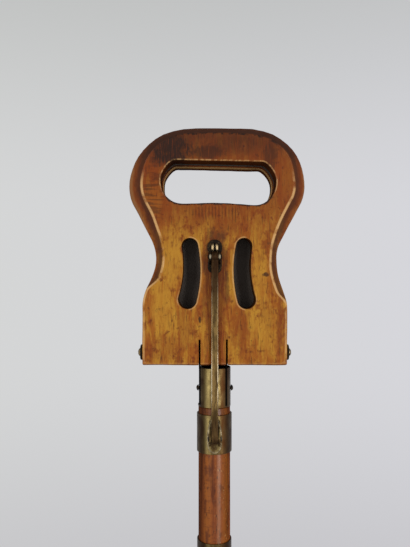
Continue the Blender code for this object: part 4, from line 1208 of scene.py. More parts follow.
def make_lug(side, turn, mirror, finishes):
    """The forged lug, its pin and its two slotted screws."""
    iron, steel = finishes
    sizes = settings().fitting
    place, rotation, body = fold_place(mirror), (0.0, 0.0, turn), f"{side}_board"
    pin = lug_pin_place()
    near = -settings().board.thickness / 2 - FIT_GAP - pin[1]
    far = near - sizes.plate
    plate = slab(lug_outline(), far, near, PLATE_EDGE)
    root = (near + far) / 2
    end = sizes.ear_gap + sizes.ear_thickness
    bores = [along_x(bar(sizes.pin + FIT_GAP, -end - CUT_REACH, end + CUT_REACH))]
    shape = moved(forged(plate, ears(root, LUG_EAR_TAILS), bores), pin)
    piece(f"{side}_lug_forged", shape, iron, body, (f"{side}_lug",), place, rotation)
    head = (sizes.pin_head, sizes.pin_dome)
    cross_pin = along_x(headed(sizes.pin, -end - FIT_GAP, end + FIT_GAP, (head, head)))
    piece(f"{side}_lug_pin_peened", moved(hammered(cross_pin, mirror * 2), pin), iron, body,
          (f"{side}_lug_pin",), place, rotation)
    for label, rise in SCREW_RISES.items():
        radius, height = SCREW_HEADS[label]
        screw = headed(sizes.screw, -sizes.screw_length, 0.0, (None, (radius, height)))
        cut = height * (1.0 - SCREW_SLOT_SHARE)
        groove = block((-sizes.screw_slot / 2, -radius - CUT_REACH, cut),
                       (sizes.screw_slot / 2, radius + CUT_REACH, height + CUT_REACH))
        shape = moved(outward_y(carved(screw, [groove])), (0.0, pin[1] + far - FIT_GAP, pin[2] + rise))
        made = piece(f"{side}_lug_screw_{label}_worn", shape, steel, body, (f"{side}_lug_screw_{label}",),
                     place, rotation)
        soften(made, SCREW_EDGE)


def soften(made, width):
    """Round a piece's sharp edges a little, as wear does."""
    wear = made.modifiers.new("worn_edges", "BEVEL")
    wear.width = width
    wear.segments = 2
    wear.limit_method = "ANGLE"
    wear.angle_limit = SHARP_ANGLE
    made.modifiers.move(made.modifiers.find("worn_edges"), 0)


def strut_outline(span):
    """A flat bar with a round eye at each end, seen from the side; the upper eye is at the origin."""
    sizes = settings().strut
    half = sizes.depth / 2
    start = math.asin(half / sizes.eye) * STRUT_EYE_OPENING
    lower = []
    for step in range(4 * ARC_STEPS + 1):
        angle = start + (math.tau - 2 * start) * step / (4 * ARC_STEPS)
        lower.append(Vector((-sizes.eye * math.sin(angle), sizes.eye * math.cos(angle) - span)))
    upper = [Vector((-point.x, -point.y - span)) for point in lower]
    ahead = [Vector((half, sizes.neck - span)), Vector((half, -sizes.neck))]
    behind = [Vector((-half, -sizes.neck)), Vector((-half, sizes.neck - span))]
    return evenly(lower + ahead + upper + behind, STRUT_STEP)


def make_strut(side, turn, mirror, finish):
    """A strut hung from the lug's pin, its edges worn round."""
    sizes = settings()
    span, lean = strut_line()
    half = sizes.strut.width / 2
    shape = slab(strut_outline(span), -half, half, sizes.strut.edge, facing_x)
    bore = sizes.fitting.pin + FIT_GAP
    bores = [moved(along_x(bar(bore, -2 * half, 2 * half)), (0.0, 0.0, height)) for height in (0.0, -span)]
    shape = roughened(carved(shape, bores), STRUT_WAVE, STRUT_CELL, mirror)
    place = (0.0, mirror * LUG_PIN_MIDDLE[1], LUG_PIN_MIDDLE[2])
    piece(f"{side}_strut_worn", shape, finish, f"{side}_strut", (f"{side}_strut",),
          place, (lean, 0.0, turn))


def saddle_outline():
    """The clevis's base on the collar, measured from its pin: a drop with blunt ends."""
    drop = COLLAR_HIGH[2] - CLEVIS_PIN_MIDDLE[2]
    top = drop - SADDLE_MARGIN
    foot = drop - (COLLAR_HIGH[2] - COLLAR_LOW[2]) + SADDLE_MARGIN
    side = settings().stick.saddle_half
    spans = [
        ((0.0, foot), (side * SADDLE_FOOT_HANDLES[0], foot), (side, foot * SADDLE_FOOT_HANDLES[1]),
         (side, -SADDLE_WIDEST_DROP)),
        ((side, -SADDLE_WIDEST_DROP), (side, top * SADDLE_TOP_HANDLES[0]),
         (side * SADDLE_TOP_HANDLES[1], top), (0.0, top)),
    ]
    return mirrored(curve(spans))[1:]


def make_clevis(side, turn, mirror, finishes):
    """A clevis on the collar, filed to a drop, with the two ends of its pin."""
    brass, iron = finishes
    sizes = settings()
    fitting = sizes.fitting
    radius = COLLAR_HIGH[0]
    pin_out = -CLEVIS_PIN_MIDDLE[1]
    front = pin_out - radius - sizes.stick.saddle_stand
    base = slab(saddle_outline(), front, front + radius / 2, SADDLE_EDGE)
    end = fitting.ear_gap + fitting.ear_thickness
    seat = moved(bar(radius + FIT_GAP, -LONG_REACH, LONG_REACH, 2 * LATHE_STEPS), (0.0, pin_out, 0.0))
    bore = along_x(bar(fitting.pin + FIT_GAP, -end - CUT_REACH, end + CUT_REACH))
    root = front + sizes.stick.saddle_stand / 2
    shape = forged(base, ears(root, CLEVIS_EAR_TAILS), [seat, bore])
    place = (0.0, mirror * CLEVIS_PIN_MIDDLE[1], CLEVIS_PIN_MIDDLE[2])
    made = piece(f"{side}_clevis_filed", shape, brass, "collar", (f"{side}_clevis",), place,
                 (0.0, 0.0, turn))
    keep_marks(made, {"from_rim": outline_depths(saddle_outline(), flat_spots(made.data.vertices))})
    head = (fitting.pin_head, fitting.pin_dome)
    for hand, label in HANDS:
        stub = along_x(headed(fitting.pin, fitting.ear_gap, end + FIT_GAP, (None, head)))
        if hand < 0:
            swung(stub, math.pi, "Z")
        piece(f"{side}_clevis_pin_{label}_peened", hammered(stub, hand), iron, "collar",
              (f"{side}_clevis_pin_{label}",), place, (0.0, 0.0, turn))


def make_collar(brass):
    """The collar that slides on the cane."""
    sizes = settings().stick
    bore = COLLAR_HIGH[0] - sizes.collar_wall
    edge = sizes.collar_edge
    span = COLLAR_HIGH[2] - COLLAR_LOW[2]
    ring = closed_ring([(bore, -span, edge / 2), (COLLAR_HIGH[0], -span, edge), (COLLAR_HIGH[0], 0.0, edge),
                        (bore, 0.0, edge / 2)])
    tube = roughened(turned(ring, 2 * LATHE_STEPS, closed=True), TUBE_WAVE, TUBE_CELL, 2.0)
    piece("collar_drawn", tube, brass, "collar", ("collar",), (0.0, 0.0, COLLAR_HIGH[2]))


def saw_cut(low, high, foot):
    """Cutter for a cheek plate's seat; a strip of metal too thin to stand goes with it."""
    inner, outer = sorted((abs(low), abs(high)))
    inner, outer = inner - SNUG_GAP, outer + SNUG_GAP
    if SOCKET_HIGH[0] - outer < THINNEST_STRIP:
        outer = SOCKET_HIGH[0] + CUT_REACH
    edges = (inner, outer) if low > 0 else (-outer, -inner)
    return block((edges[0], -LONG_REACH, foot), (edges[1], LONG_REACH, ROD_MIDDLE[2]))


def make_socket(finishes):
    """The brass socket with its slits, the cheek plates and the rivet through them."""
    brass, iron = finishes
    sizes = settings().stick
    radius, edge = SOCKET_HIGH[0], SOCKET_EDGE
    bore = radius - sizes.socket_wall
    foot, top = SOCKET_LOW[2], SOCKET_HIGH[2]
    ring = closed_ring([(bore, foot, edge / 2), (radius, foot, edge), (radius, top, edge),
                        (bore, top, edge / 2)])
    cutters = [saw_cut(low, high, foot + SLIT_STOP) for low, high in CHEEKS]
    rivet = along_x(bar(sizes.rivet + FIT_GAP, -2 * radius, 2 * radius))
    cutters.append(moved(rivet, (0.0, 0.0, RIVET_MIDDLE[2])))
    tube = roughened(carved(turned(ring, LATHE_STEPS, closed=True), cutters), TUBE_WAVE, TUBE_CELL, 4.0)
    piece("head_socket_slit", moved(tube, (0.0, 0.0, -foot)), brass, "stick", ("head_socket",),
          (0.0, 0.0, foot))
    low, high = RIVET_BOX[0][0], RIVET_BOX[1][0]
    head = (sizes.rivet_head, RIVET_DOME)
    shank = along_x(headed(sizes.rivet, low + RIVET_DOME, high - RIVET_DOME, (head, head)))
    piece("socket_rivet_peened", hammered(shank, 1.0), iron, "stick", ("socket_rivet",),
          (0.0, 0.0, RIVET_MIDDLE[2]))
    for _, label in HANDS:
        # cheek plates painted dark: old grease and painted shade in the saw cuts
        finish_node(f"cheek_plate_{label}", finish_named("grimy_shaded_plate"))


def finish_node(name, finish):
    """Give a CAD node that is shown as it is its finish."""
    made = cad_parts[name]
    made.data.materials.clear()
    made.data.materials.append(finish)


def ferrule_radius(height):
    """Outer radius of the ferrule's straight taper at a height above the ground."""
    sizes = settings().stick
    share = (height - FERRULE_LOW[2]) / (FERRULE_HIGH[2] - FERRULE_LOW[2])
    return sizes.ferrule_foot + (sizes.ferrule_top - sizes.ferrule_foot) * share


def make_shaft(finish):
    """The cane: a spigot in the socket, a straight run for the collar and a long taper."""
    sizes = settings().stick
    spigot = SOCKET_HIGH[0] - sizes.socket_wall - FIT_GAP
    foot, shoulder = FERRULE_LOW[2] + FIT_GAP, FERRULE_HIGH[2] + FIT_GAP
    inset = sizes.socket_wall + FIT_GAP
    head, top = SOCKET_LOW[2] - FIT_GAP, SOCKET_HIGH[2] - SHOULDER_EDGE
    taper = ROD_MIDDLE[2] - sizes.taper_drop
    stations = [(sizes.ferrule_top, shoulder)]
    count = int((taper - shoulder) / SHAFT_STEP)
    for step in range(1, count + 1):
        share = step / count
        stations.append((sizes.ferrule_top + (sizes.shaft - sizes.ferrule_top) * share,
                         shoulder + (taper - shoulder) * share))
    count = int((head - SHOULDER_EDGE - taper) / SHAFT_STEP)
    for step in range(1, count + 1):
        stations.append((sizes.shaft, taper + (head - SHOULDER_EDGE - taper) * step / count))
    profile = [
        (0.0, foot), (ferrule_radius(foot) - inset, foot), (ferrule_radius(shoulder) - inset, shoulder),
        *stations,
        (sizes.shaft - SHOULDER_EDGE, head), (spigot, head), (spigot, top), (0.0, top),
    ]
    cutters = [saw_cut(low, high, head + FIT_GAP + SLIT_STOP) for low, high in CHEEKS]
    rivet = along_x(bar(sizes.rivet + FIT_GAP, -2 * spigot, 2 * spigot))
    cutters.append(moved(rivet, (0.0, 0.0, RIVET_MIDDLE[2])))
    shape = roughened(carved(turned(profile, LATHE_STEPS), cutters), SHAFT_WAVE, SHAFT_CELL, 6.0)
    piece("shaft_varnished", shape, finish, "stick", ("shaft",))


def make_stop_ring(finish):
    """The ring that the collar comes down on, and the pin that holds it."""
    low, high, radius = RING_LOW[2], RING_HIGH[2], RING_HIGH[0]
    bore = settings().stick.shaft + FIT_GAP
    ring = closed_ring([(bore, 0.0, RING_EDGE / 2), (radius, 0.0, RING_EDGE),
                        (radius, high - low, RING_EDGE), (bore, high - low, RING_EDGE / 2)])
    tube = roughened(turned(ring, 2 * LATHE_STEPS, closed=True), TUBE_WAVE, TUBE_CELL, 8.0)
    piece("stop_ring_turned", tube, finish, "stick", ("stop_ring",), (0.0, 0.0, low))
    small_pin("stop_ring_pin", radius, finish)


def small_pin(name, surface, finish):
    """A holding pin at the back, filed to a low dome."""
    radius = settings().stick.rivet
    pin = swung(headed(radius, surface / 2, surface, (None, (radius, PIN_PROUD))), -QUARTER, "X")
    piece(f"{name}_filed", pin, finish, "stick", (name,), (0.0, 0.0, node_middle(name)[2]))


def make_ferrule(finishes):
    """The tapered brass ferrule, its pin and the blunt steel tip."""
    brass, steel = finishes
    sizes = settings().stick
    low, high, wall = FERRULE_LOW[2], FERRULE_HIGH[2], sizes.socket_wall
    edge = FERRULE_EDGE
    ring = closed_ring([
        (sizes.ferrule_foot - wall, low, edge / 2), (sizes.ferrule_foot, low, edge),
        (sizes.ferrule_top, high, edge), (sizes.ferrule_top - wall, high, edge / 2),
    ])
    tube = roughened(turned(ring, LATHE_STEPS, closed=True), TUBE_WAVE, TUBE_CELL, 9.0)
    piece("ferrule_turned", tube, brass, "stick", ("ferrule",))
    height = node_middle("ferrule_pin")[2]
    small_pin("ferrule_pin", ferrule_radius(height), brass)
    rim, stem_top = low - FIT_GAP, node_box("steel_tip")[1][2]
    corners = [
        (0.0, 0.0, 0.0), (sizes.tip_foot, 0.0, TIP_ROUNDING), (sizes.ferrule_foot, rim, TIP_EDGE),
        (TIP_STEM_RADIUS, rim, 0.0), (TIP_STEM_RADIUS, stem_top, 0.0), (0.0, stem_top, 0.0),
    ]
    tip = turned([tuple(point) for point in rounded(corners)])
    piece("steel_tip_worn", roughened(tip, TUBE_WAVE, TIP_CELL, 3.0), steel, "stick", ("steel_tip",))


class BoardFinish(Finish):
    """Amber wood under worn varnish: reddish at the head, stained, bright at its ridges from wear and a
    painted highlight, with painted shade on its chamfers, sides, walls and foot.
    """

    def __init__(self, name, shift):
        super().__init__(name, 0.5, 0.0, 0.0)
        self.shift = shift
        self.wood = settings().wood
        self.x, self.y, self.z = self.parts(self.place())
        self.inset, self.from_hole, self.from_slot = (self.mark(mark) for mark in BOARD_MARKS)
        self.fibre = self.figured((1.0, 1.0, 0.06), 4.0, (3.0, 0.0), 0.7)
        self.figure = self.figured((0.13, 0.13, 0.024), 5.0, (9.0, 5.0), 0.6, 0.6)
        self.mottle = self.figured((0.24, 0.24, 0.20), 5.0, (21.0, 4.0), 0.65)
        self.ragged = self.figured((0.30, 0.30, 0.13), 3.0, (17.0, 8.0)) - 0.5
        self.uneven = (self.mottle - 0.5) * 2.2

    def figured(self, stretch, detail, offset, roughness=0.55, distortion=0.0):
        """Noise that lies elsewhere on each board."""
        return self.grain(stretch, detail, roughness, (self.shift, *offset), distortion)

    def grow(self):
        """The wood itself, redder towards the head and darker at the crown."""
        wood = self.wood
        light = self.rise(self.figure * 0.6 + self.mottle * 0.2 + self.fibre * 0.2, 0.45, 0.57)
        self.tone = self.mix(light, wood.amber, wood.honey)
        clouds = self.figured((0.080, 0.080, 0.055), 3.0, (31.0, 2.0))
        self.lay(self.rise(clouds * 0.5 + self.mottle * 0.5, 0.49, 0.59, 0.8), wood.russet)
        self.lay(self.rise(self.z + self.ragged * 34.0, *HEAD_REDDENING, 0.80), wood.russet)
        self.lay(self.rise(self.z + self.ragged * 26.0, *CROWN_DARKENING, 0.58), wood.umber)

    def stain(self, patches):
        """Darker and paler patches, and a shade behind the strut."""
        edge = self.ragged * 2.4 + self.uneven
        for spot, stain, depth in patches:
            self.lay(self.blotch(self.x, self.z, spot, edge) * depth, getattr(self.wood, stain))
        strut_shade = self.band(self.x, *STRUT_SHADE_ACROSS) * (1.0 - self.rise(self.z, *STRUT_SHADE_END))
        self.lay(strut_shade * 0.7, self.wood.russet)

    def streak(self):
        """Fine streaks along the grain, curl beside the hand hole and ripples below it."""
        wood, x, z, ragged = self.wood, self.x, self.z, self.ragged
        streaks = self.figured((1.1, 1.1, 0.10), 2.0, (40.0, 1.0))
        self.lay(self.rise(streaks, 0.57, 0.72, 0.6), wood.umber)
        self.lay(self.rise(self.fibre, 0.52, 0.66, 0.6), wood.russet)
        pale = self.rise(1.0 - self.fibre, 0.53, 0.66, 0.45) * (1.0 - self.rise(z, *PALE_FIBRE_END))
        self.lay(pale, wood.honey)
        self.lay(self.rise(self.mottle, 0.58, 0.68, 0.4), wood.umber)
        curl = self.rise(self.figured((0.05, 0.05, 0.40), 2.0, (50.0, 1.0)), 0.48, 0.60, 0.5)
        self.lay(curl * self.blotch(x, z, CURL_SPOT, ragged), wood.umber)
        wave = self.node("ShaderNodeMath", {"operation": "SINE"}, {0: x * RIPPLE_TURN})
        ripples = self.rise(wave + ragged * 2.0, 0.3, 1.0, 0.5)
        self.lay(ripples * self.blotch(x, z, RIPPLE_SPOT, ragged * 1.5), wood.umber)

    def paint_chamfer_shade(self):
        """The chamfer, painted darker and redder, partly as painted shade: darkest towards its ridge and the
        crown, paler at its outer edge; the board's sides darkened as painted shade.
        """
        wood, inset = self.wood, self.inset
        chamfer = (1.0 - self.rise(inset, -1.6, -0.2)) * self.rise(self.z, *CHAMFER_START)
        # painted shade, with a redder tone, over the chamfer
        self.lay(chamfer * 0.45, wood.russet)
        self.lay(chamfer * (1.0 - self.rise(inset + self.uneven, -10.0, -7.0)) * 0.25, wood.worn)
        self.lay(chamfer * self.rise(inset + self.ragged * 5.0, -7.5, -3.0) * 0.65, wood.umber)
        self.lay(chamfer * self.rise(self.z, *CROWN_CHAMFER) * 0.55, wood.umber)
        # painted shade on the board's sides
        side = self.rise(self.y, -3.0, 2.0) * (1.0 - self.rise(inset, 3.0, 8.0))
        self.lay(side * 0.5, wood.umber)

    def wear_ridges_paint_highlight_and_shade(self, wear, outer):
        """Ridges rubbed bright, partly as a painted highlight, and the base's side edges rubbed bright; the
        foot's end darkened as painted shade, and the crown's ridge dark.
        """
        wood, inset, z = self.wood, self.inset, self.z
        # worn ridge, partly a painted highlight
        ridge = self.band(inset, 0.0, 0.55, 0.9) * (1.0 - self.rise(z, *RIDGE_END))
        ridge = ridge * self.rise(z, *RIDGE_START) * (1.0 - self.rise(self.y, *FACE_END))
        self.lay(ridge * wear * 0.85, wood.worn)
        foot_edge = self.band(inset, 0.6, 0.5, 0.6) * self.band(z, *FOOT_EDGE) * outer
        self.lay(foot_edge * wear * 0.5, wood.worn)
        # painted shade along the foot's end
        self.lay((1.0 - self.rise(z + self.ragged, *FOOT_FACE)) * 0.6, wood.umber)
        crown = self.band(inset, -0.3, 0.6, 0.7) * self.rise(z, *CROWN_LINE)
        self.lay(crown * self.rise(self.mottle + self.ragged, 0.46, 0.60), wood.umber)

    def wear_openings_and_shade_below_hole(self, wear, outer):
        """Chipped rim of the hand hole, bright lips of the slots, and painted shade with dark specks along
        the hole's lower edge.
        """
        wood, z = self.wood, self.z
        chips = self.rise(self.mottle + self.fibre * 0.3, 0.58, 0.72)
        rim = self.band(self.from_hole, 0.8, 0.25, 0.6) * self.rise(z, *RIM_START) * outer
        self.lay(rim * (0.10 + 0.5 * chips), wood.worn)
        lip = self.band(self.from_slot, 0.8, 0.3, 0.7) * outer
        for side in SLOT_OUTER_SIDES:
            lip = lip * (1.0 - self.band(self.x, side, 3.0, 3.0))
        self.lay(lip * (0.10 + 0.45 * wear), wood.worn)
        # painted shade, ragged with dark specks, along the hole's lower edge
        shade_below_hole = 1.0 - self.rise(self.from_hole + self.ragged * 4.0 + self.fibre, 1.3, 2.4)
        self.lay(shade_below_hole * (1.0 - self.rise(z, *SILL_END)) * 0.9, wood.umber)

    def varnish(self, wall_painted_light):
        """Walls in the openings painted dark as painted shade, a little less at the hole's roof, with
        painted light on the back board's walls; no varnish on the walls, and a worn coat on the rest.
        """
        wood = self.wood
        wall = 1.0 - self.rise(self.from_hole.capped(self.from_slot), 0.15, 0.55)
        # painted shade on the walls of the hole and slots
        self.lay(wall * (0.9 - self.rise(self.z, *HOLE_ROOF, 0.2)), wood.umber)
        # painted light on the walls, in the worn tone
        self.lay(wall * wall_painted_light * self.rise(self.y, 1.0, 4.0), wood.worn)
        self.set("Coat Roughness", 0.34)
        self.set("Coat Weight", (0.30 - 0.2 * self.ragged) * (1.0 - wall))
        self.bump(self.fibre * 0.4 + self.figure * 0.3 + self.mottle * 0.3, 0.00014, 0.6)


def board_finish(name, shift, patches, wall_painted_light):
    """A board's finish: the wood first, then its stains and wear, painted light and shade, and what is left
    of the varnish.
    """
    finish = BoardFinish(name, shift)
    finish.grow()
    finish.stain(patches)
    finish.streak()
    finish.paint_chamfer_shade()
    wear = finish.rise(finish.figured((0.10, 0.10, 0.10), 3.0, (3.0, 60.0)), 0.30, 0.52)
    outer = 1.0 - finish.rise(finish.y, *OUTER_FACE)
    finish.wear_ridges_paint_highlight_and_shade(wear, outer)
    finish.wear_openings_and_shade_below_hole(wear, outer)
    finish.varnish(wall_painted_light)
    return finish.done()


def grow_cane_and_shade_left_side(finish, x, blot, fibre):
    """Streaked wood: amber, then red, and amber again at the right; the left side darkened as painted shade.
    """
    wood = settings().wood
    streak = finish.grain((0.22, 0.22, 0.010), 3.0, distortion=0.4)
    finish.tone = finish.mix(finish.rise(streak, 0.34, 0.58), wood.cane_brown, wood.cane_red)
    finish.lay(finish.band(x + blot * 3.0, *CANE_RED_STRIP) * 0.6, wood.cane_red)
    finish.lay(finish.rise(fibre, 0.45, 0.75, 0.5), wood.amber)
    finish.lay(finish.band(x + streak * 5.0, *CANE_AMBER_STRIP) * (1.2 - blot) * 0.85, wood.amber)
    finish.lay(finish.rise(blot, 0.50, 0.62, 0.7), wood.cane_brown)
    # painted shade on the left side
    finish.lay(finish.rise(blot * 3.0 - x, *CANE_SHADED_SIDE, 0.5), wood.umber)
    finish.lay(finish.band(x + blot * 3.0, *CANE_RIGHT_STRIP) * 0.5, wood.amber)


def wear_cane_and_paint_highlight(finish, x, pores, highlight_strip):
    """Pores, fine cross scratches, pale flecks, and a painted highlight: a paler strip, glossier too."""
    wood = settings().wood
    finish.lay(finish.rise(pores, 0.60, 0.70, 0.8), wood.umber)
    scratches = finish.rise(finish.grain((0.12, 0.12, 0.9), 2.0, shift=(2.0, 8.0, 3.0)), 0.56, 0.66, 0.4)
    finish.lay(scratches * (1.0 - finish.rise(x, 0.0, 4.0)), wood.cane_brown)
    flecks = finish.rise(finish.grain((0.9, 0.9, 0.5), 2.0, shift=(7.0, 3.0, 1.0)), 0.64, 0.72, 0.5)
    finish.lay(flecks * finish.rise(x, -2.0, 3.0), wood.worn)
    # painted highlight
    finish.lay(highlight_strip * 0.08, wood.worn)


def cane_finish(name):
    """Reddish varnish over brown streaks along the cane, with a painted highlight strip, its left side
    darkened as painted shade and painted shade just below the socket; dark where it stands in the socket.
    """
    wood = settings().wood
    finish = Finish(name, 0.5, 0.0, 0.0)
    x, _, z = finish.parts(finish.place())
    fibre = finish.grain((1.3, 1.3, 0.03), 3.0, shift=(4.0, 0.0, 0.0))
    blot = finish.grain((0.16, 0.16, 0.05), 3.0, shift=(9.0, 0.0, 7.0))
    pores = finish.grain((1.1, 1.1, 0.22), 2.0, shift=(1.0, 6.0, 0.0))
    highlight_strip = finish.band(x + blot, *CANE_HIGHLIGHT_STRIP)
    grow_cane_and_shade_left_side(finish, x, blot, fibre)
    wear_cane_and_paint_highlight(finish, x, pores, highlight_strip)
    seat = SOCKET_LOW[2] * MILLIMETRES
    # painted shade just below the socket
    finish.lay(finish.rise(z, seat - 9.0, seat - 5.0, 0.3), wood.umber)
    seated = finish.rise(z, seat - 0.8, seat + 1.5)
    finish.lay(seated * 0.9, wood.umber)
    finish.set("Coat Roughness", 0.34)
    bare = 1.0 - finish.rise(abs(x), *CANE_BARE_SIDES, 0.85)
    # a heavier coat along the painted highlight strip
    finish.set("Coat Weight", (0.6 - 0.3 * blot + 0.6 * highlight_strip).capped() * bare * (1.0 - seated))
    finish.bump(fibre + pores, 0.00008, 0.5)
    return finish.done()


def brass_finish(name, dulled):
    """Old brass: brown patina with faint streaks and pits, a painted highlight strip at the left, and both
    sides darkened as painted shade.
    """
    wood, metal = settings().wood, settings().metal
    finish = Finish(name, 0.36, 1.0)
    x = finish.parts(finish.place())[0]
    cloud = finish.grain((0.13, 0.13, 0.09), 4.0)
    streak = finish.grain((0.35, 0.35, 0.03), 3.0, shift=(2.0, 5.0, 0.0))
    pits = finish.grain((1.6, 1.6, 1.6), 2.0, shift=(0.0, 1.0, 4.0))
    worn = finish.rise(cloud * 0.7 + streak * 0.3, 0.40, 0.62)
    finish.tone = finish.mix(worn, metal.patina, metal.brass)
    # painted highlight
    finish.lay(finish.band(x, *BRASS_HIGHLIGHT_STRIP) * 0.6, metal.brass)
    finish.lay(finish.band(x, *BRASS_DULL_STRIP) * 0.45, metal.patina)
    finish.lay(finish.band(x, *BRASS_RED_STRIP) * 0.35, wood.russet)
    # painted shade on both sides
    finish.lay(finish.rise(abs(x - 0.5) + cloud * 4.0, *BRASS_SHADED_SIDES, 0.8), wood.umber)
    finish.lay(cloud * dulled, wood.umber)
    finish.lay(finish.rise(pits, 0.60, 0.72, 0.5), wood.umber)
    finish.set("Roughness", 0.50 - 0.12 * worn)
    finish.bump(pits + cloud, 0.00006, 0.5)
    return finish.done()


def clevis_finish(name):
    """Brass, dark in its middle, with a painted highlight along its filed rim."""
    metal = settings().metal
    finish = Finish(name, 0.34, 1.0)
    cloud = finish.grain((0.22, 0.22, 0.16), 3.0)
    rim = finish.mark("from_rim")
    finish.tone = finish.mix(finish.rise(cloud, 0.44, 0.66, 0.7), metal.patina, metal.brass)
    finish.lay(finish.rise(rim, 1.2, 3.0, 0.5), settings().wood.umber)
    # painted highlight along the rim
    rubbed = finish.band(rim, 0.5, 0.3, 0.6) * finish.rise(cloud, 0.36, 0.56)
    finish.lay(rubbed * 0.3, metal.rubbed)
    finish.set("Roughness", 0.52 - 0.12 * rubbed)
    return finish.done()


def strut_finish(name):
    """Rubbed metal, dark at both ends, and bright along its edges: rubbed bare, and partly a painted
    highlight.
    """
    wood, metal = settings().wood, settings().metal
    finish = Finish(name, 0.36, 1.0)
    x, _, z = finish.parts(finish.place())
    cloud = finish.grain((0.40, 0.40, 0.07), 4.0)
    pits = finish.grain((0.9, 0.9, 0.5), 3.0, shift=(3.0, 0.0, 9.0))
    finish.tone = finish.mix(finish.rise(cloud, 0.36, 0.62), metal.patina, metal.strut)
    finish.lay(finish.rise(z + cloud * 30.0, *STRUT_DARK_TOP, 0.85), wood.umber)
    finish.lay(finish.rise(pits, 0.56, 0.66, 0.6), wood.umber)
    bare = finish.band(z, *STRUT_RUBBED_AND_LIT) * 0.65 + 0.3
    bare = bare * (1.0 - finish.rise(z, *STRUT_RUBBED_AND_LIT_TOP)) * finish.rise(z, *STRUT_RUBBED_AND_LIT_FOOT)
    # bright edges: bare metal and partly a painted highlight
    finish.lay(finish.rise(abs(x), 2.1, 2.6) * finish.rise(cloud, 0.34, 0.50) * bare, metal.rubbed)
    finish.lay((1.0 - finish.rise(z, *STRUT_DARK_FOOT)) * 0.7, wood.umber)
    finish.set("Roughness", 0.32 + 0.25 * cloud)
    finish.bump(cloud + pits, 0.00014, 0.6)
    return finish.done()


def iron_finish(name):
    """Browned iron, with a painted highlight on the noses of the ears."""
    metal = settings().metal
    finish = Finish(name, 0.42, 0.6, 0.1)
    y = finish.parts(finish.place())[1]
    cloud = finish.grain((0.35, 0.35, 0.35), 4.0)
    pits = finish.grain((1.8, 1.8, 1.8), 2.0, shift=(5.0, 0.0, 0.0))
    finish.tone = finish.mix(finish.rise(cloud, 0.50, 0.70, 0.5), metal.iron, metal.patina)
    # painted highlight on the noses of the lug's ears
    nose = (LUG_PIN_MIDDLE[1] - ROD_MIDDLE[1] - settings().fitting.ear) * MILLIMETRES
    finish.lay((1.0 - finish.rise(y, nose + 0.1, nose + 0.7)) * 0.3, metal.rubbed)
    finish.set("Roughness", 0.30 + 0.25 * cloud)
    finish.bump(pits + cloud, 0.00012, 0.6)
    return finish.done()


def grimy_shaded_plate_finish(name):
    """The cheek plates in their saw cuts: old grease and dust, dark as painted shade too."""
    metal = settings().metal
    finish = Finish(name, 0.8, 0.0, 0.0)
    cloud = finish.grain((0.30, 0.30, 0.10), 3.0)
    # old grease and painted shade
    finish.tone = finish.mix(finish.rise(cloud, 0.50, 0.75, 0.4), metal.grime_and_shade, metal.iron)
    finish.bump(cloud, 0.00010, 0.5)
    return finish.done()


def steel_finish(name):
    """Steel, rubbed in places and brown between them."""
    metal = settings().metal
    finish = Finish(name, 0.30, 1.0)
    cloud = finish.grain((0.45, 0.45, 0.45), 4.0)
    finish.tone = finish.mix(finish.rise(cloud, 0.40, 0.62), metal.patina, metal.steel)
    finish.set("Roughness", 0.24 + 0.25 * cloud)
    finish.bump(cloud, 0.00008, 0.5)
    return finish.done()


def screw_finish(name):
    """A slotted head: a dark slot of old grease and painted shade, steel either side of it, and a rim
    darkened as painted shade.
    """
    metal = settings().metal
    finish = Finish(name, 0.30, 1.0)
    across = abs(finish.parts(finish.place())[0])
    cloud = finish.grain((0.6, 0.6, 0.6), 3.0)
    # the slot dark with old grease and painted shade
    finish.tone = finish.mix(finish.rise(across + cloud, 1.2, 1.6), metal.grime_and_shade, metal.steel)
    # painted shade round the rim
    finish.lay(finish.rise(across, 2.6, 3.4), metal.iron)
    finish.set("Roughness", 0.24 + 0.20 * cloud)
    finish.bump(cloud, 0.00006, 0.5)
    return finish.done()


def leather_finish(name):
    """Dark leather with a fine grain, browner in places."""
    finish = Finish(name, 0.62, 0.0, 0.2)
    sockets = {"Vector": finish.place((0.8, 0.8, 0.8)), "Scale": 1.0}
    pebble = finish.node("ShaderNodeTexVoronoi", None, sockets)
    cloud = finish.grain((0.05, 0.05, 0.05), 4.0)
    browned = finish.rise(cloud, 0.50, 0.72, 0.35)
    finish.tone = finish.mix(browned, settings().metal.leather, settings().wood.umber)
    finish.set("Roughness", 0.56 + 0.25 * cloud)
    finish.bump(pebble, 0.00015, 0.7)
    return finish.done()


MAKERS = {
    "board_wood_front": lambda name: board_finish(name, 0.0, FRONT_PATCHES, 0.0),
    # 0.7: painted light on the back board's walls
    "board_wood_back": lambda name: board_finish(name, BACK_SHIFT, BACK_PATCHES, 0.7),
    "cane_varnish": cane_finish,
    "aged_brass": lambda name: brass_finish(name, 0.0),
    "collar_brass": lambda name: brass_finish(name, 0.4),
    "ring_brass": lambda name: brass_finish(name, 1.1),
    "clevis_brass": clevis_finish,
    "strut_metal": strut_finish,
    "browned_iron": iron_finish,
    "grimy_shaded_plate": grimy_shaded_plate_finish,
    "rubbed_steel": steel_finish,
    "screw_steel": screw_finish,
    "dark_leather": leather_finish,
}


def finish_named(name):
    """A finish of the stick seat, made when a piece first asks for it."""
    if name not in bpy.data.materials:
        MAKERS[name](name)
    return bpy.data.materials[name]


class STICKSEAT_OT_shaft(bpy.types.Operator):
    """Turns the cane and varnishes it"""

    bl_idname = "stickseat.shaft"
    bl_label = "Cane shaft"

    def execute(self, context):
        make_shaft(finish_named("cane_varnish"))
        return {"FINISHED"}


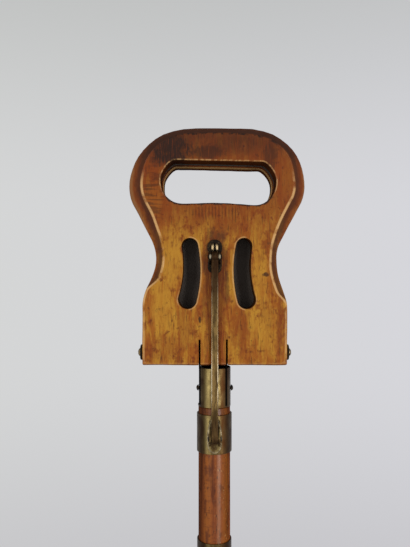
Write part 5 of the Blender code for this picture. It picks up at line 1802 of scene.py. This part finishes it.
class STICKSEAT_OT_socket(bpy.types.Operator):
    """Makes the slit socket, its cheek plates and the rivet"""

    bl_idname = "stickseat.socket"
    bl_label = "Head socket"

    def execute(self, context):
        make_socket((finish_named("aged_brass"), finish_named("browned_iron")))
        return {"FINISHED"}


class STICKSEAT_OT_stop_ring(bpy.types.Operator):
    """Makes the stop ring and its pin"""

    bl_idname = "stickseat.stop_ring"
    bl_label = "Stop ring"

    def execute(self, context):
        make_stop_ring(finish_named("ring_brass"))
        return {"FINISHED"}


class STICKSEAT_OT_ferrule(bpy.types.Operator):
    """Makes the ferrule, its pin and the steel tip"""

    bl_idname = "stickseat.ferrule"
    bl_label = "Ferrule and tip"

    def execute(self, context):
        make_ferrule((finish_named("aged_brass"), finish_named("rubbed_steel")))
        return {"FINISHED"}


class STICKSEAT_OT_collar(bpy.types.Operator):
    """Makes the sliding collar with a clevis at its front and one at its back"""

    bl_idname = "stickseat.collar"
    bl_label = "Collar and clevises"

    def execute(self, context):
        make_collar(finish_named("collar_brass"))
        for side, turn, mirror in SIDES:
            make_clevis(side, turn, mirror, (finish_named("clevis_brass"), finish_named("browned_iron")))
        return {"FINISHED"}


class STICKSEAT_OT_boards(bpy.types.Operator):
    """Carves both seat boards"""

    bl_idname = "stickseat.boards"
    bl_label = "Seat boards"

    def execute(self, context):
        for side, turn, mirror in SIDES:
            make_board(side, turn, mirror, finish_named(f"board_wood_{side}"))
        return {"FINISHED"}


class STICKSEAT_OT_linings(bpy.types.Operator):
    """Lays the leather on the boards' inner faces"""

    bl_idname = "stickseat.linings"
    bl_label = "Linings"

    def execute(self, context):
        for side, turn, mirror in SIDES:
            make_lining(side, turn, mirror, finish_named("dark_leather"))
        return {"FINISHED"}


class STICKSEAT_OT_rods(bpy.types.Operator):
    """Makes the hinge rods and their washers"""

    bl_idname = "stickseat.rods"
    bl_label = "Hinge rods and washers"

    def execute(self, context):
        for side, turn, mirror in SIDES:
            make_rods(side, turn, mirror, (finish_named("rubbed_steel"), finish_named("browned_iron")))
        return {"FINISHED"}


class STICKSEAT_OT_lugs(bpy.types.Operator):
    """Forges the lugs and makes their pins and screws"""

    bl_idname = "stickseat.lugs"
    bl_label = "Lugs, pins and screws"

    def execute(self, context):
        for side, turn, mirror in SIDES:
            make_lug(side, turn, mirror, (finish_named("browned_iron"), finish_named("screw_steel")))
        return {"FINISHED"}


class STICKSEAT_OT_struts(bpy.types.Operator):
    """Makes the struts between the boards and the collar"""

    bl_idname = "stickseat.struts"
    bl_label = "Struts"

    def execute(self, context):
        for side, turn, mirror in SIDES:
            make_strut(side, turn, mirror, finish_named("strut_metal"))
            finish_node(f"{side}_strut_pin_core", finish_named("browned_iron"))
        return {"FINISHED"}


class STICKSEAT_OT_stage(bpy.types.Operator):
    """Makes the floor, the backdrop's tone, the lamps and the camera"""

    bl_idname = "stickseat.stage"
    bl_label = "Stage"

    def execute(self, context):
        scene = context.scene
        scene.view_settings.view_transform = "Standard"
        set_camera(scene)
        paint_world(scene)
        lay_floor()
        hang_lamps(scene)
        return {"FINISHED"}


class STICKSEAT_PT_panel(bpy.types.Panel):
    """The stick seat's pieces, sizes and colours."""

    bl_idname = "STICKSEAT_PT_panel"
    bl_label = "Stick Seat"
    bl_space_type = "VIEW_3D"
    bl_region_type = "UI"
    bl_category = "Stick Seat"

    def draw(self, context):
        layout = self.layout
        for operator in OPERATORS:
            layout.operator(operator.bl_idname)
        for group, prop in StickSeatSettings.bl_rna.properties.items():
            if prop.type == "POINTER" and group in StickSeatSettings.__annotations__:
                box = layout.box()
                box.label(text=group.replace("_", " ").capitalize())
                sizes = getattr(context.scene.stick_seat, group)
                for name in type(sizes).__annotations__:
                    box.prop(sizes, name)


def set_camera(scene):
    """A level camera straight in front, at the height of the slots."""
    camera = bpy.data.objects.new("camera", bpy.data.cameras.new("camera"))
    scene.collection.objects.link(camera)
    camera.location = CAMERA_PLACE
    camera.rotation_euler = (QUARTER, 0.0, 0.0)
    camera.data.lens = CAMERA_LENS
    camera.data.sensor_width = CAMERA_SENSOR
    camera.data.clip_start = CAMERA_NEAR
    scene.camera = camera


def lay_floor():
    """A plain pale disc under the cane."""
    rim = [(0.0, -FLOOR_DEPTH), (FLOOR_RADIUS, -FLOOR_DEPTH), (FLOOR_RADIUS, 0.0), (0.0, 0.0)]
    floor = linked(turned(rim), "floor")
    pale = Finish("pale_floor", 0.8, 0.0, 0.2)
    pale.set("Base Color", settings().stage.floor)
    floor.data.materials.append(pale.material)


def hang_lamps(scene):
    """A tall lamp at the left and a narrower one at the right, both aimed at the boards."""
    for name, place, size, power in LAMPS:
        lamp = bpy.data.lights.new(name, "AREA")
        lamp.shape = "RECTANGLE"
        lamp.size, lamp.size_y = size
        lamp.energy = power
        made = bpy.data.objects.new(name, lamp)
        scene.collection.objects.link(made)
        made.location = place
        aim = Vector((0.0, 0.0, LAMP_AIM_HEIGHT)) - Vector(place)
        made.rotation_euler = aim.to_track_quat("-Z", "Y").to_euler()


def paint_world(scene):
    """An even light all round, and a pale backdrop that darkens towards its top and its foot."""
    tones = settings().stage
    world = bpy.data.worlds.new("studio")
    scene.world = world
    world.use_nodes = True
    sky = Painting(world.node_tree, "Background")
    across, _, height = sky.parts(sky.node("ShaderNodeTexCoord", output="Generated"))
    tone = sky.mix(sky.rise(across, -0.5, 0.5), tones.backdrop_left, tones.backdrop_right)
    tone = sky.mix(sky.rise(height, 0.08, 0.66), tone, tones.backdrop_top)
    tone = sky.mix(sky.rise(height * -1.0, 0.12, 0.66), tone, tones.backdrop_foot)
    rays = [sky.node("ShaderNodeLightPath", output=ray)
            for ray in ("Is Camera Ray", "Is Glossy Ray", "Is Transmission Ray")]
    seen = (rays[0] + rays[1] + rays[2]).capped()
    sky.set("Color", sky.mix(seen, tones.room, tone))


GROUPS = (BoardSizes, HandHoleSizes, SlotSizes, LiningSizes, FittingSizes, StrutSizes, StickSizes,
          WoodColours, MetalColours, StageColours, StickSeatSettings)
OPERATORS = (STICKSEAT_OT_shaft, STICKSEAT_OT_socket, STICKSEAT_OT_stop_ring, STICKSEAT_OT_ferrule,
             STICKSEAT_OT_collar, STICKSEAT_OT_boards, STICKSEAT_OT_linings, STICKSEAT_OT_rods,
             STICKSEAT_OT_lugs, STICKSEAT_OT_struts, STICKSEAT_OT_stage)
CLASSES = (*GROUPS, *OPERATORS, STICKSEAT_PT_panel)


def register():
    for item in CLASSES:
        bpy.utils.register_class(item)
    bpy.types.Scene.stick_seat = PointerProperty(type=StickSeatSettings)


def unregister():
    del bpy.types.Scene.stick_seat
    for item in reversed(CLASSES):
        bpy.utils.unregister_class(item)


def main():
    register()
    bpy.ops.stickseat.shaft()
    bpy.ops.stickseat.socket()
    bpy.ops.stickseat.stop_ring()
    bpy.ops.stickseat.ferrule()
    bpy.ops.stickseat.collar()
    bpy.ops.stickseat.boards()
    bpy.ops.stickseat.linings()
    bpy.ops.stickseat.rods()
    bpy.ops.stickseat.lugs()
    bpy.ops.stickseat.struts()
    bpy.ops.stickseat.stage()


if __name__ == "__main__":
    main()
